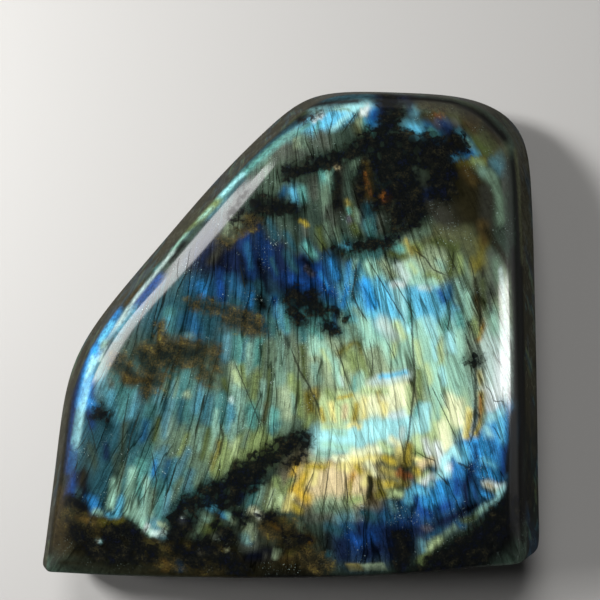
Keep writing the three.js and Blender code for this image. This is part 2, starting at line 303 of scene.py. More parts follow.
    ("denim", 0.9, (-6, 0.4), (-5.6, -3.4)), ("cobalt", 0.4, (-6, 0), (-5.4, -4)),
    ("lagoon", 1.2, (-4.8, -2.4), (-3.8, -7.2)), ("seaGreen", 0.5, (-3, -4), (-2.9, -7.2)),
    ("deepTeal", 1.2, (-9, -4), (-8, -7.4)), ("teal", 0.8, (-7.2, -5), (-5.6, -9)),
    ("deepTeal", 1.3, (-18.6, -9), (-18.4, -14.6)), ("teal", 0.8, (-15.5, -8), (-15.5, -12.6)),
    ("steel", 0.8, (-17, -9), (-17.2, -14)), ("seaGreen", 1.3, (-13.6, -10), (-14.6, -15)),
    ("steel", 0.5, (-13, -10), (-13.6, -14)),
    # the grey-green strips below the clouds
    ("celadon", 0.8, (-11.7, -11), (-12.1, -17)), ("seaGreen", 1, (-9.8, -9.6), (-10.2, -16)),
    ("stone", 1, (-15.9, -15.6), (-14.9, -20.6)), ("fern", 0.7, (-14, -16), (-13, -20)),
    ("lime", 0.4, (-15.6, -17), (-14.4, -20.6)), ("celadon", 1.1, (-15.4, -21), (-13, -24.6)),
    ("stone", 0.6, (-10.3, -16.4), (-10.4, -21)), ("moss", 0.5, (-8.6, -11), (-9, -18)),
    ("sage", 1.3, (-7, -10.6), (-7.4, -20)), ("moss", 0.6, (-7.2, -17), (-7.6, -23), (-8.4, -27)),
    ("celadon", 0.8, (-4.9, -8.4), (-4.6, -11.6)), ("celadon", 0.9, (-4.6, -11.6), (-4.6, -20)),
    ("darkSage", 0.7, (-3, -9.4), (-2.4, -12)), ("sage", 1, (-2.6, -12.6), (-2, -18)),
    ("fern", 0.8, (-2.2, -18.4), (-2, -22)), ("stone", 1.4, (-3.6, -22), (-2.9, -27.4)),
    ("celadon", 0.5, (-1.6, -23), (-1.4, -27)), ("darkSage", 1.4, (-18.4, -17), (-18.6, -22)),
    ("moss", 0.7, (-18, -19.4), (-17.6, -21.4)), ("pearl", 0.35, (-16.4, -23.4), (-15.9, -24.6)),
    ("fern", 1.1, (-10.6, -18), (-11.2, -25)), ("celadon", 0.7, (-8.8, -20), (-9.4, -26.6)),
    ("lichen", 0.7, (-8, -25), (-8.6, -29)), ("celadon", 1.2, (-14.6, -25.6), (-14.2, -30)),
    ("seaGreen", 1.2, (-11.8, -25.6), (-11.4, -30)), ("lagoon", 1, (-16.8, -25.6), (-16.8, -31)),
    ("seaGreen", 1, (-6.2, -27), (-6.4, -30)), ("teal", 0.8, (-5.6, -29.6), (-7, -31.6)),
    ("teal", 1, (-18.6, -23), (-18.4, -29)),
    # the left flank
    ("bark", 1.4, (-42, -19), (-36, -20)), ("darkSage", 1.2, (-38, -22), (-36.6, -24)),
    ("ash", 0.9, (-46.6, -19.4), (-45.8, -21.4)), ("steel", 1.4, (-48.6, -19.6), (-49.4, -24)),
    ("deepBlue", 1.4, (-51.6, -21), (-52, -25.6)), ("azure", 0.8, (-51.8, -25), (-50.4, -26.8)),
    ("lagoon", 1.6, (-45.8, -23.6), (-45.4, -28)), ("teal", 1.2, (-43.4, -22), (-43.8, -28)),
    ("steel", 1.3, (-39, -23.4), (-40.6, -28)), ("lagoon", 0.6, (-40, -25.6), (-40.8, -28)),
    ("teal", 1.2, (-34.4, -21), (-35, -26)), ("steel", 0.7, (-34.2, -21.6), (-35.2, -27.6)),
    ("teal", 1.2, (-35.8, -26.4), (-37.8, -31)), ("sage", 0.8, (-32.2, -20.6), (-32.6, -24)),
    ("deepTeal", 1, (-32.4, -24), (-33.2, -30)), ("steel", 0.7, (-30.2, -20), (-31, -26)),
    ("sage", 0.4, (-29.6, -19), (-30.2, -23.4)), ("stone", 0.7, (-27.3, -22.6), (-27, -23.4)),
    ("teal", 0.5, (-27, -17.4), (-28.2, -21.4)), ("deepTeal", 1.1, (-28, -24.6), (-29.2, -31)),
    ("teal", 0.9, (-26.6, -25), (-27.8, -31)), ("steel", 0.9, (-24, -21), (-25.2, -27)),
    ("lagoon", 0.5, (-24.2, -23), (-25, -27)), ("steel", 1.2, (-22, -23.4), (-22.8, -29)),
    ("lagoon", 0.6, (-22.2, -24), (-22.8, -28)), ("celadon", 0.5, (-20, -26.6), (-20.6, -31)),
    ("stone", 0.4, (-31.6, -28.8), (-32.2, -32.6)), ("steel", 0.8, (-32, -28), (-32.8, -33)),
    ("sage", 1.6, (-28.6, -32), (-31, -38)), ("fern", 0.6, (-27.4, -33), (-29.4, -38)),
    ("sage", 1, (-24.4, -31), (-25.6, -40)), ("celadon", 0.6, (-23.8, -31), (-24.4, -36)),
    ("celadon", 0.7, (-20, -31), (-20.6, -36)), ("moss", 0.7, (-22, -31), (-23.6, -38.6)),
    ("olive", 0.7, (-19.6, -34), (-21, -41)), ("lime", 0.9, (-15.4, -33.6), (-15.8, -37)),
    ("stone", 0.6, (-16.6, -34.6), (-18.4, -39.4)), ("fern", 1.2, (-17.6, -36.6), (-20, -42)),
    ("sage", 0.8, (-13, -32), (-13.6, -35)), ("fern", 0.9, (-12, -34.6), (-11, -36)),
    ("celadon", 0.9, (-16, -30), (-16.6, -33)), ("deepTeal", 1.5, (-53, -30.6), (-54.4, -37)),
    ("steel", 0.8, (-55.4, -34), (-55.6, -38)), ("deepBlue", 1, (-52.4, -28), (-51.4, -31)),
    ("deepTeal", 1.3, (-48, -31), (-48.2, -38.4)), ("navy", 0.8, (-47.4, -35.6), (-47.4, -38.4)),
    ("darkSage", 0.9, (-51.8, -36), (-50.2, -43)), ("darkSage", 0.7, (-45, -38), (-46, -45)),
    ("denim", 0.9, (-37.6, -29.6), (-38.4, -34)), ("darkSage", 0.9, (-42.6, -30), (-43.8, -42)),
    ("moss", 0.6, (-34.4, -29), (-36.2, -37)), ("ash", 0.4, (-35, -36), (-35.4, -37)),
    ("teal", 1.3, (-36.6, -36), (-38.6, -40.6)), ("lagoon", 1, (-34.4, -38), (-35.8, -43)),
    ("azure", 0.5, (-35, -39.6), (-35.6, -42.4)), ("steel", 0.9, (-33, -36), (-33.6, -40)),
    ("denim", 0.9, (-31.8, -39.6), (-32.8, -43)), ("lagoon", 0.8, (-30, -39), (-33.2, -47)),
    ("steel", 0.8, (-27.2, -36.6), (-30, -43.4)), ("sage", 0.8, (-28.8, -44), (-31.4, -48.6)),
    ("steel", 0.8, (-26.2, -42), (-27.6, -46)), ("sage", 1, (-23.6, -40), (-25, -44.6)),
    ("seaGreen", 1.2, (-38.6, -40), (-39.8, -46)), ("celadon", 0.9, (-37.4, -44), (-38, -53)),
    ("mint", 1, (-40.8, -42), (-42.6, -52)), ("celadon", 1.6, (-41, -50), (-39.6, -54)),
    ("sage", 1, (-36, -47), (-36.6, -53)), ("teal", 1.2, (-33.4, -46), (-34.6, -53)),
    ("steel", 0.8, (-31.8, -47), (-33, -52)), ("mint", 0.9, (-45.6, -45), (-47, -51)),
    ("sky", 0.7, (-43.8, -48.6), (-45.2, -52.6)), ("sage", 0.6, (-43.8, -41), (-45, -47.6)),
    ("deepTeal", 1.5, (-49.6, -43), (-50.4, -52)), ("deepTeal", 0.8, (-49, -44.6), (-48.8, -48)),
    ("night", 1.6, (-54, -44), (-53.4, -48.6)), ("umber", 1, (-53.8, -43), (-54.6, -45.6)),
    ("navy", 1.2, (-56, -39), (-56.6, -46)), ("deepTeal", 0.8, (-54.6, -39), (-55.6, -41.6)),
    ("azure", 1.2, (-52, -49.6), (-51, -52)), ("mint", 0.6, (-50.8, -52.6), (-49.8, -53)),
    ("sky", 0.7, (-47.4, -53), (-45.4, -53.4)), ("mint", 1, (-38.4, -55), (-37, -57)),
    ("steel", 1.5, (-36, -55), (-34, -57)), ("pearl", 0.6, (-36.4, -57.4), (-33.6, -57)),
    ("stone", 0.5, (-34.6, -54.6), (-33, -56)), ("white", 0.4, (-37.6, -55.4), (-38, -56.6)),
    # the grey-green middle
    ("teal", 1.4, (0.6, -6.6), (1, -9)), ("seaGreen", 1, (3, -7), (4.4, -9)),
    ("moss", 0.8, (0.7, -11), (1, -18)), ("mint", 1, (3, -9.6), (3.4, -12)),
    ("mint", 1.2, (5, -11), (6.8, -14)), ("lime", 0.5, (5.4, -12), (7, -17)),
    ("stone", 1, (5.6, -16), (7.6, -20)), ("celadon", 1, (3.6, -15.6), (4.4, -19)),
    ("mint", 0.8, (8.4, -15), (9.4, -20)), ("pearl", 0.4, (9.9, -18.6), (10.2, -20.2)),
    ("olive", 0.8, (9.6, -12.6), (12.6, -10)), ("fern", 1.6, (12, -13), (12.4, -15.6)),
    ("olive", 0.8, (13.6, -9.6), (15.4, -15)), ("moss", 0.6, (13.8, -9.6), (14.6, -11.4)),
    ("fern", 1, (14.6, -14), (16, -18)), ("lime", 0.5, (10.8, -15), (10.4, -17.6)),
    ("stone", 1.1, (11.4, -18.4), (11.6, -21)), ("seaGreen", 0.6, (13.2, -18.6), (12.9, -21.4)),
    ("mint", 0.9, (14.4, -18), (14.6, -21)), ("stone", 2.2, (18, -12.6), (19.4, -17)),
    ("mint", 1.8, (21.6, -11), (23.6, -15)), ("lime", 0.7, (22.6, -9.6), (22.4, -13)),
    ("pearl", 1.1, (17.6, -19.4), (22, -18.8), (26, -18)), ("sky", 0.5, (19, -18.4), (25.4, -17.4)),
    ("celadon", 1.1, (13.6, -2.4), (15.4, -5)), ("sage", 0.8, (11.6, -6), (12.6, -9)),
    ("sage", 0.7, (13.2, -6.4), (14.2, -9)), ("mint", 1.4, (15.4, -6), (17, -9.6)),
    ("pearl", 1.6, (19.6, -5.6), (22.4, -8)), ("lime", 0.8, (23, -6), (24.6, -9)),
    ("ice", 0.6, (24.8, -2), (25.9, -7)),
    # right of the middle
    ("teal", 1.1, (15.6, 10.4), (18.6, 10.8)), ("mint", 1.2, (16.6, 8.6), (19, 5)),
    ("stone", 1.2, (20, 9), (22.4, 5.6)), ("darkSage", 1, (20.6, 11.4), (23, 9.6)),
    ("pearl", 0.9, (23.6, 8), (25.4, 5)), ("mint", 1.2, (26.6, 8.2), (28.6, 5.4)),
    ("lime", 0.5, (26.4, 8.4), (27.8, 6.6)), ("fern", 1.4, (25.4, 12.4), (29, 12.6)),
    ("brass", 0.5, (25.4, 14), (26.6, 11.4)), ("moss", 0.9, (21.8, 11.2), (24.8, 10.4)),
    ("olive", 0.6, (27, 12.8), (29, 10.6)), ("seaGreen", 0.8, (23, 12.8), (24, 12.2)),
    ("azure", 1.2, (15, 3.6), (16.8, -1)), ("cyan", 0.8, (15.8, 4.4), (18, -1)),
    ("sky", 1.1, (18.6, 4.4), (20.4, 1)), ("sky", 1.3, (20, 1), (21.6, -2.4)),
    ("ice", 1.3, (23, 3.4), (24.6, -1.4)), ("white", 0.6, (22.4, 4), (24.4, 3.6)),
    ("seaGreen", 0.9, (26.4, -0.4), (26.2, -5)), ("sky", 2.6, (29, 1), (31, -2.6)),
    ("sky", 1.4, (28.6, 0.4), (30, -2)), ("cobalt", 0.9, (33.4, 1.6), (34.4, -0.4)),
    ("denim", 1.3, (36, 3), (36.2, -0.4)), ("celadon", 1.1, (38, 4), (38, 0)),
    ("mint", 1.1, (40, 1), (40.4, -4)), ("sage", 1, (39.4, 8.6), (40.2, 3.4)),
    ("lichen", 2.4, (31, 15.4), (36, 14.6)), ("sage", 1.2, (28, 16), (30, 16.6)),
    ("moss", 1, (32, 13.8), (37.6, 13)), ("stone", 1.8, (31.6, 10.6), (33, 8.4)),
    ("celadon", 0.8, (33.4, 9), (34.6, 7.6)), ("fern", 1, (30.6, 5.6), (33.4, 5)),
    ("moss", 1, (36.6, 11.6), (36.2, 6)), ("fern", 0.8, (38.3, 10.4), (38.6, 7)),
    ("mint", 0.8, (26.6, 4.2), (32, 4)), ("pearl", 0.5, (29, 2.8), (31, 2.4)),
    ("mint", 1, (28.4, -5.6), (29.4, -9)), ("ice", 1.1, (30.6, -5), (31.6, -9)),
    ("seaGreen", 0.9, (38.2, -3.4), (38.4, -7)), ("teal", 0.5, (35.8, -1), (35.6, -5)),
    ("seaGreen", 1, (34.6, -5.6), (35.4, -9)), ("mint", 0.9, (38.4, -8), (38.4, -15)),
    # the pale column right of the fracture
    ("lime", 0.8, (27.8, -10), (28.6, -15)), ("mint", 1.4, (30.4, -10), (31, -14)),
    ("ice", 0.6, (31.8, -10), (32.6, -14)), ("stone", 0.7, (33.6, -9.4), (34.4, -13)),
    ("ice", 0.9, (36, -8.6), (36.4, -12)), ("lime", 0.6, (33.4, -11), (34, -15)),
    ("lime", 0.8, (30, -15.6), (31, -19.4)), ("ice", 0.7, (34, -17), (34.6, -20)),
    ("mint", 1.4, (36.6, -15), (37.4, -22)), ("celadon", 0.8, (34, -22.6), (34.8, -25)),
    ("fern", 0.9, (28.2, -17), (28.6, -24.4)), ("seaGreen", 0.9, (28, -25), (27.8, -27.4)),
    ("ice", 0.9, (29.2, -25.6), (29.2, -31)), ("ice", 0.8, (30.6, -25), (30.6, -31)),
    ("mint", 0.9, (32.6, -20), (33, -28)), ("cream", 1.2, (36, -23.6), (37.4, -28.6)),
    ("cream", 1, (38.2, -24.6), (38.8, -29.4)), ("cream", 1.2, (34.4, -30), (35.4, -35)),
    ("white", 0.9, (30, -34), (31, -36.6)), ("lemon", 0.5, (40.4, -26), (39.8, -32.6)),
    ("white", 1, (33, -35), (33.8, -38)), ("lime", 0.9, (28, -33.4), (28.6, -35)),
    ("fern", 0.8, (27.2, -36), (29.6, -37.6)), ("lemon", 0.5, (27.4, -38), (29, -38.6)),
    ("khaki", 0.9, (26.2, -35), (25.6, -39)), ("peach", 0.9, (29, -39.6), (31.6, -38.6)),
    # the lemon and ice bands
    ("olive", 1.5, (1.8, -22.6), (2.6, -27)), ("brass", 0.8, (3.6, -21.6), (4, -23)),
    ("fern", 0.8, (-0.4, -20), (0, -27.6)), ("fern", 0.8, (2.6, -28), (1.8, -30)),
    ("lime", 1.4, (6.6, -24), (7, -28)), ("fern", 0.7, (6.6, -22), (8, -24)),
    ("khaki", 0.5, (5, -26), (5.8, -29)), ("lemon", 0.6, (7.4, -25), (8.4, -29)),
    ("lime", 0.8, (9.6, -23), (9.8, -29.4)), ("lime", 1.3, (11.8, -24.6), (12, -28)),
    ("khaki", 0.8, (13.6, -25), (13, -29)), ("khaki", 0.4, (9.4, -23.4), (12.6, -23.2)),
    ("peach", 0.6, (10.8, -25.6), (10.6, -28)), ("lemon", 0.8, (15.8, -24), (15.4, -28)),
    ("cream", 2, (18, -25.4), (24.6, -23.6)), ("lime", 0.9, (15.4, -21.8), (20.4, -21.8)),
    ("cream", 0.9, (23, -21.4), (25.6, -21)), ("brass", 0.4, (18.7, -22), (19.2, -24.2)),
    ("lemon", 0.7, (20, -25), (20.6, -28)), ("white", 0.8, (22, -28), (24.6, -27.6)),
    ("lime", 0.8, (6, -30.4), (11, -30.8)), ("lemon", 0.6, (12, -30.4), (14.6, -30)),
    ("ice", 1.6, (7, -33.4), (13, -33)), ("ice", 1.8, (17, -31.4), (23.6, -29.8)),
    ("mint", 0.7, (8, -31.8), (10.6, -32)), ("mint", 1, (5.6, -34.6), (12, -35.6)),
    ("celadon", 0.9, (4.4, -36.6), (8, -37)), ("stone", 0.7, (2.6, -38), (5.4, -38.4)),
    ("pearl", 0.7, (24.6, -31), (24.2, -33)), ("moss", 0.7, (26.7, -19.6), (26.5, -25)),
    ("lime", 0.6, (25.8, -21), (25.9, -27)), ("cream", 1.1, (13, -36.8), (18.4, -35.8)),
    ("lime", 0.9, (19.6, -34.4), (21.4, -36)), ("cream", 0.8, (21.8, -33.4), (23.6, -34.4)),
    ("lemon", 0.7, (23.6, -35.6), (23.8, -37)), ("lemon", 0.9, (10.4, -38.4), (18, -38)),
    ("cream", 0.6, (8.4, -38), (11, -37.8)), ("khaki", 0.8, (20.4, -37.6), (22.4, -39)),
    ("brass", 0.8, (24, -37.6), (24.4, -39)),
    # gold and peach below them
    ("khaki", 0.9, (2, -39.8), (6.6, -40)), ("lemon", 0.9, (9.6, -40), (11, -40.4)),
    ("khaki", 0.9, (13.4, -39.8), (14.6, -41)), ("cream", 0.7, (16, -39.4), (17.6, -41.6)),
    ("gold", 0.7, (-0.6, -39.6), (-1.6, -42)), ("khaki", 1.2, (1.6, -41.6), (0, -45.4)),
    ("lemon", 0.6, (3.8, -41.4), (3.4, -44)), ("gold", 0.4, (1, -42), (-0.6, -46)),
    ("peach", 1.5, (6.8, -42), (5.6, -46)), ("peach", 1.3, (9.6, -42), (8.8, -46)),
    ("ochre", 0.8, (12.6, -41.6), (12, -44)), ("brass", 0.7, (12, -43.6), (11.8, -47)),
    ("peach", 0.9, (14.2, -43.6), (14, -46)), ("lemon", 0.8, (16.6, -42), (15.4, -44)),
    ("bark", 0.6, (17.2, -43), (16.6, -49)), ("gold", 1.3, (-1.6, -45.4), (1.6, -47.6)),
    ("khaki", 0.9, (-2.4, -49), (-0.4, -50.6)), ("lemon", 0.6, (-2, -47), (-3.4, -50.4)),
    ("lime", 0.6, (-4, -46.4), (-5.6, -50)), ("fern", 0.8, (-2, -43.4), (-4, -46)),
    ("stone", 1.6, (5, -49), (10, -48.6)), ("fern", 1.2, (12, -48.4), (14, -47.6)),
    ("sage", 1.4, (4, -50.6), (12, -50.6)), ("ash", 1.2, (2, -52.4), (7, -52.6)),
    ("olive", 1, (18.6, -43.6), (19.4, -46.4)), ("brass", 0.9, (20, -40.6), (22.6, -42)),
    ("khaki", 0.9, (20.8, -44), (22.4, -45)), ("rust", 0.7, (23.6, -41.8), (26.4, -42.4)),
    ("bark", 0.5, (24.4, -40), (24.6, -44)), ("brass", 0.9, (24.4, -44), (26, -44.6)),
    ("khaki", 0.9, (28, -41), (29, -42.6)), ("lime", 1, (22, -46.4), (24, -46.6)),
    ("bark", 0.8, (17.6, -47), (18.4, -48.6)), ("olive", 0.9, (19, -46.6), (20.4, -46.6)),
    ("lime", 0.8, (29, -43.4), (30.6, -42)), ("rust", 0.4, (24, -41), (25, -43)),
    # the blue foot
    ("steel", 1.3, (9.6, -52.6), (12, -52.4)), ("deepTeal", 1.4, (15, -51), (17.6, -52.4)),
    ("denim", 1.2, (20.4, -51.6), (22, -53)), ("steel", 0.8, (22, -49), (22.6, -50.6)),
    ("denim", 1.2, (25, -49.6), (25.6, -52)), ("sky", 0.8, (26.4, -46.4), (26.2, -48.4)),
    ("deepTeal", 1.2, (7, -54.6), (9.6, -56)), ("denim", 0.9, (10.6, -54.4), (12.6, -54.6)),
    ("navy", 0.8, (14, -54), (14.4, -56)), ("cobalt", 0.8, (12, -57), (14.6, -59)),
    ("cobalt", 0.6, (17, -56.6), (18, -58)), ("navy", 1.8, (21.6, -56), (22.4, -62)),
    ("navy", 1.2, (10, -59), (10.6, -62.4)), ("navy", 1.4, (16.4, -61.4), (19, -60)),
    ("night", 2, (25, -57), (26, -61)), ("cobalt", 1.2, (29.6, -51), (31.4, -52)),
    ("deepBlue", 1, (26.6, -53), (28.6, -54)), ("navy", 1.2, (28, -56), (32, -55.6)),
    ("sky", 1.1, (28.4, -45.6), (30.4, -46.4)), ("white", 0.8, (30, -43.6), (31.8, -42.6)),
    ("ice", 0.6, (31.6, -44.4), (31.4, -46)), ("cyan", 0.8, (31.6, -46), (32.6, -47.6)),
    ("cobalt", 0.9, (28, -48), (28.6, -50)),
    # the lower right corner
    ("white", 1.2, (34, -39.4), (35.6, -40.6)), ("ice", 0.8, (34.6, -38.6), (34.2, -41)),
    ("ice", 1.1, (33.4, -42.4), (35.6, -42.4)), ("ice", 0.9, (37.4, -36), (38.6, -38)),
    ("sky", 0.8, (39.6, -35.6), (40, -37)), ("sky", 0.9, (39.6, -38), (40.4, -39)),
    ("ice", 0.8, (35.8, -37.6), (36.6, -36.6)), ("cyan", 1, (33.8, -44), (34.4, -45.4)),
    ("azure", 1.4, (36, -44), (36.4, -47)), ("cyan", 1.2, (30.6, -48.4), (33, -49)),
    ("cobalt", 1.4, (34, -50.6), (36, -49.6)), ("azure", 0.9, (37.8, -40.4), (38, -42.6)),
    ("deepBlue", 1.2, (41.6, -40.4), (41, -43.6)), ("navy", 1.4, (40, -44.6), (40.4, -49)),
    ("cobalt", 0.9, (38.2, -44), (38, -46.6)), ("deepBlue", 0.8, (42.6, -44), (43, -48)),
    ("denim", 1.2, (44, -44), (45, -46.6)), ("cyan", 0.6, (44.6, -47.4), (46, -48)),
    ("navy", 2, (34, -54), (39, -52)), ("night", 1.4, (40, -51), (43, -50)),
    ("mauve", 0.5, (30.4, -55), (31.4, -55.8)), ("stone", 0.9, (45.6, -44.6), (48, -46.4)),
    ("white", 0.7, (45.4, -44.4), (46.8, -45.2)), ("peach", 0.35, (45.6, -44.8), (46.8, -45.4)),
    ("white", 0.6, (48.4, -45.4), (49.8, -45.8)), ("ice", 0.7, (49.8, -46), (48, -48.6), (45.4, -50.6)),
    ("celadon", 0.6, (45.4, -50.8), (42.6, -52.6)), ("moss", 0.7, (42.6, -52.8), (39.6, -54)),
    ("denim", 0.7, (38.6, -54.4), (39.6, -55.2)), ("sage", 0.7, (37.6, -55.4), (34.4, -57.6)),
    ("lime", 1, (33.4, -58.8), (31.4, -60.4)), ("steel", 0.8, (29.6, -59), (29.8, -61)),
    ("denim", 0.7, (34, -56), (31.6, -57.8)), ("sage", 0.5, (32.6, -58.4), (31, -59.8)),
    ("fern", 0.7, (31, -62), (29.4, -63.6)),
    # the right side, inside the rim
    ("olive", 1.8, (43.6, 13), (43.2, 8)), ("lichen", 1.8, (40, 16), (41.4, 12)),
    ("olive", 0.4, (41.6, 9.6), (42, 6.6)), ("bark", 1.3, (44.4, 18), (44.6, 14)),
    ("umber", 0.9, (44, 7), (44.4, 0)), ("moss", 0.8, (44.4, 4), (44.6, -1)),
    ("umber", 0.8, (42.2, 5), (42.8, 0)), ("bark", 0.8, (42.4, 0), (43.6, -4)),
    ("ochre", 0.6, (43.8, -6), (42.8, -9.6)), ("fern", 0.9, (42, -5.6), (42.6, -8)),
    ("ash", 1.9, (46.6, 10), (46.8, 2)), ("sage", 1.2, (47.6, 9), (48.4, 5)),
    ("mint", 1.4, (46.4, -3), (47, -8)), ("ash", 0.8, (45.6, 1), (46, -3)),
    # The pearl and white strokes on this line and the next two are pale flash with a painted highlight
    # beside the lit right edge.
    ("pearl", 1.5, (46.8, -10), (47.4, -17)), ("white", 1.4, (48.4, -14), (48.4, -22.4)),
    ("pearl", 0.8, (45, -13), (45.6, -18)), ("brass", 0.7, (43.2, -17.4), (43.6, -20)),
    ("white", 1.1, (45, -22), (46, -26)), ("white", 0.8, (47, -22.6), (47.6, -25.4)),
    ("umber", 0.9, (45.2, 16.4), (48.5, 12), (51, 8), (52.6, 3.4)),
    ("khaki", 0.9, (43.6, -22.6), (43.6, -28), (42.4, -32)), ("copper", 0.3, (43.3, -23), (43.4, -28.6)),
    ("khaki", 0.5, (41, -27), (40.4, -33)), ("stone", 0.6, (44.4, -27.6), (44.2, -29.6)),
    ("ice", 1.1, (46, -28.4), (48.6, -27.4)), ("sky", 1.3, (48.6, -29), (49.4, -33.4)),
    ("ice", 0.8, (45, -31), (46, -33)), ("azure", 1, (46, -34), (47.6, -38)),
    ("deepBlue", 0.8, (42.6, -35.4), (43, -38)), ("cyan", 0.9, (44, -36), (45, -38)),
    ("sky", 0.7, (44.6, -38.6), (47.6, -40.6)), ("cyan", 0.5, (47, -37.8), (48, -39.6)),
    ("cyan", 1.1, (45, -42), (48, -42.4)), ("cobalt", 1.2, (50, -36), (49.6, -42)),
    # The cyan stroke at the edge here is flash with the bluish lower end of the right edge's highlight
    # painted into it.
    ("cyan", 0.8, (50.6, -29), (50.6, -34)), ("ink", 1, (51.8, -29), (51.4, -36), (51, -42)),
    # open bits in the dark foot
    ("ice", 0.5, (-51, -60), (-49.4, -59.6)), ("white", 0.25, (-50.6, -59.9), (-49.8, -59.6)),
    ("brass", 0.35, (-56.8, -52.8), (-56, -52.8)), ("bark", 2.2, (-57.6, -54.6), (-50, -55.6)),
    ("moss", 0.9, (-58, -53), (-54, -55)), ("umber", 1.6, (-58, -58), (-56, -63)),
    ("ochre", 0.4, (-56, -54), (-53, -55)), ("umber", 1.6, (-54, -60), (-50, -63.6)),
    ("olive", 1, (-44, -54.8), (-49, -55.2)), ("brass", 1.4, (-37, -61), (-35, -62.4)),
    ("umber", 1.4, (-41, -63), (-33, -64)), ("ochre", 0.45, (-33.6, -64.4), (-32.8, -65.2)),
    ("teal", 1.3, (-10.6, -44.6), (-11.8, -49.6)), ("sage", 0.9, (-8, -44.6), (-9.6, -50.4)),
    ("celadon", 0.4, (-9.2, -45.6), (-10.4, -49)), ("fern", 1, (-5.6, -43.6), (-7.6, -50)),
    ("lichen", 0.5, (-7, -44), (-8.6, -49.4)), ("stone", 0.5, (-6.4, -46), (-7.4, -50)),
    ("cream", 0.9, (-11.4, -51.2), (-9.4, -52.4)), ("white", 0.35, (-10.6, -51.6), (-9.6, -52.6)),
    ("azure", 0.45, (-19.2, -52), (-18.6, -52.6)), ("seaGreen", 0.6, (-18.2, -52.2), (-17, -52.6)),
    ("celadon", 0.4, (-17.6, -52), (-17, -53)), ("stone", 0.5, (-16.6, -52.8), (-16.2, -53.6)),
    ("sky", 0.9, (-21.8, -49), (-21.2, -50.4)), ("deepBlue", 0.6, (-14, -47), (-14.8, -48.4)),
    ("ash", 0.6, (-27, -49), (-26.4, -50.2)), ("sage", 1.2, (-22.6, -53), (-24.6, -57.4)),
    ("brass", 0.35, (-22.6, -55), (-22, -56.4)), ("celadon", 0.4, (-23.2, -53.2), (-22.6, -54)),
    ("moss", 1.4, (-21, -55), (-23, -56.4)), ("white", 0.5, (-29.3, -53.4), (-28.6, -54.2)),
    ("ash", 0.5, (-29, -52.2), (-28, -52)), ("white", 0.6, (-24, -61.8), (-22.8, -61.6)),
    ("white", 0.25, (-23.8, -61.8), (-23, -61.7)), ("denim", 0.7, (-29.8, -64.2), (-29.2, -65.2)),
    ("ash", 1.8, (-12, -54), (-13.4, -57), (-12.2, -60)), ("stone", 0.9, (-12, -53.6), (-13, -56)),
    ("steel", 0.8, (-13.4, -57), (-12.6, -58.4)), ("stone", 0.4, (-11.4, -55), (-11.6, -58)),
    ("celadon", 0.3, (-13.2, -56.4), (-13, -58.6)), ("ash", 0.7, (-19, -57), (-21, -58)),
    ("bark", 2.4, (-7.4, -54.4), (-3, -56)), ("ochre", 0.35, (-7, -54), (-5.4, -55.4)),
    ("moss", 0.5, (-4.6, -53), (-2.4, -54.4)), ("night", 1.6, (-12.4, -62.6), (-8, -61.4)),
    ("wall", 0.5, (-8.6, -61.6), (-8.2, -62.6)), ("stone", 0.45, (-5.2, -61), (-5.8, -62.6)),
    ("bark", 1, (-20.8, -61.4), (-20, -64)), ("lemon", 0.3, (-20.8, -62.4), (-20.4, -63.6)),
    ("cream", 0.4, (-18.2, -61), (-18, -62.2)), ("bark", 1.2, (-3.6, -63), (-1, -61)),
    ("olive", 0.5, (-2.4, -61.4), (-0.6, -60.6)), ("ochre", 0.5, (0.6, -56.8), (2.4, -58.6)),
    ("bark", 1, (0.4, -56), (3, -58)), ("bark", 1.2, (1, -62), (4, -64)),
    ("sage", 0.5, (-0.4, -54), (0.4, -56)), ("ink", 1, (6.4, -57), (6.8, -60)),
    ("deepTeal", 0.8, (6.6, -61.6), (7.6, -63)), ("umber", 1, (-16, -61), (-15.4, -64)),
]
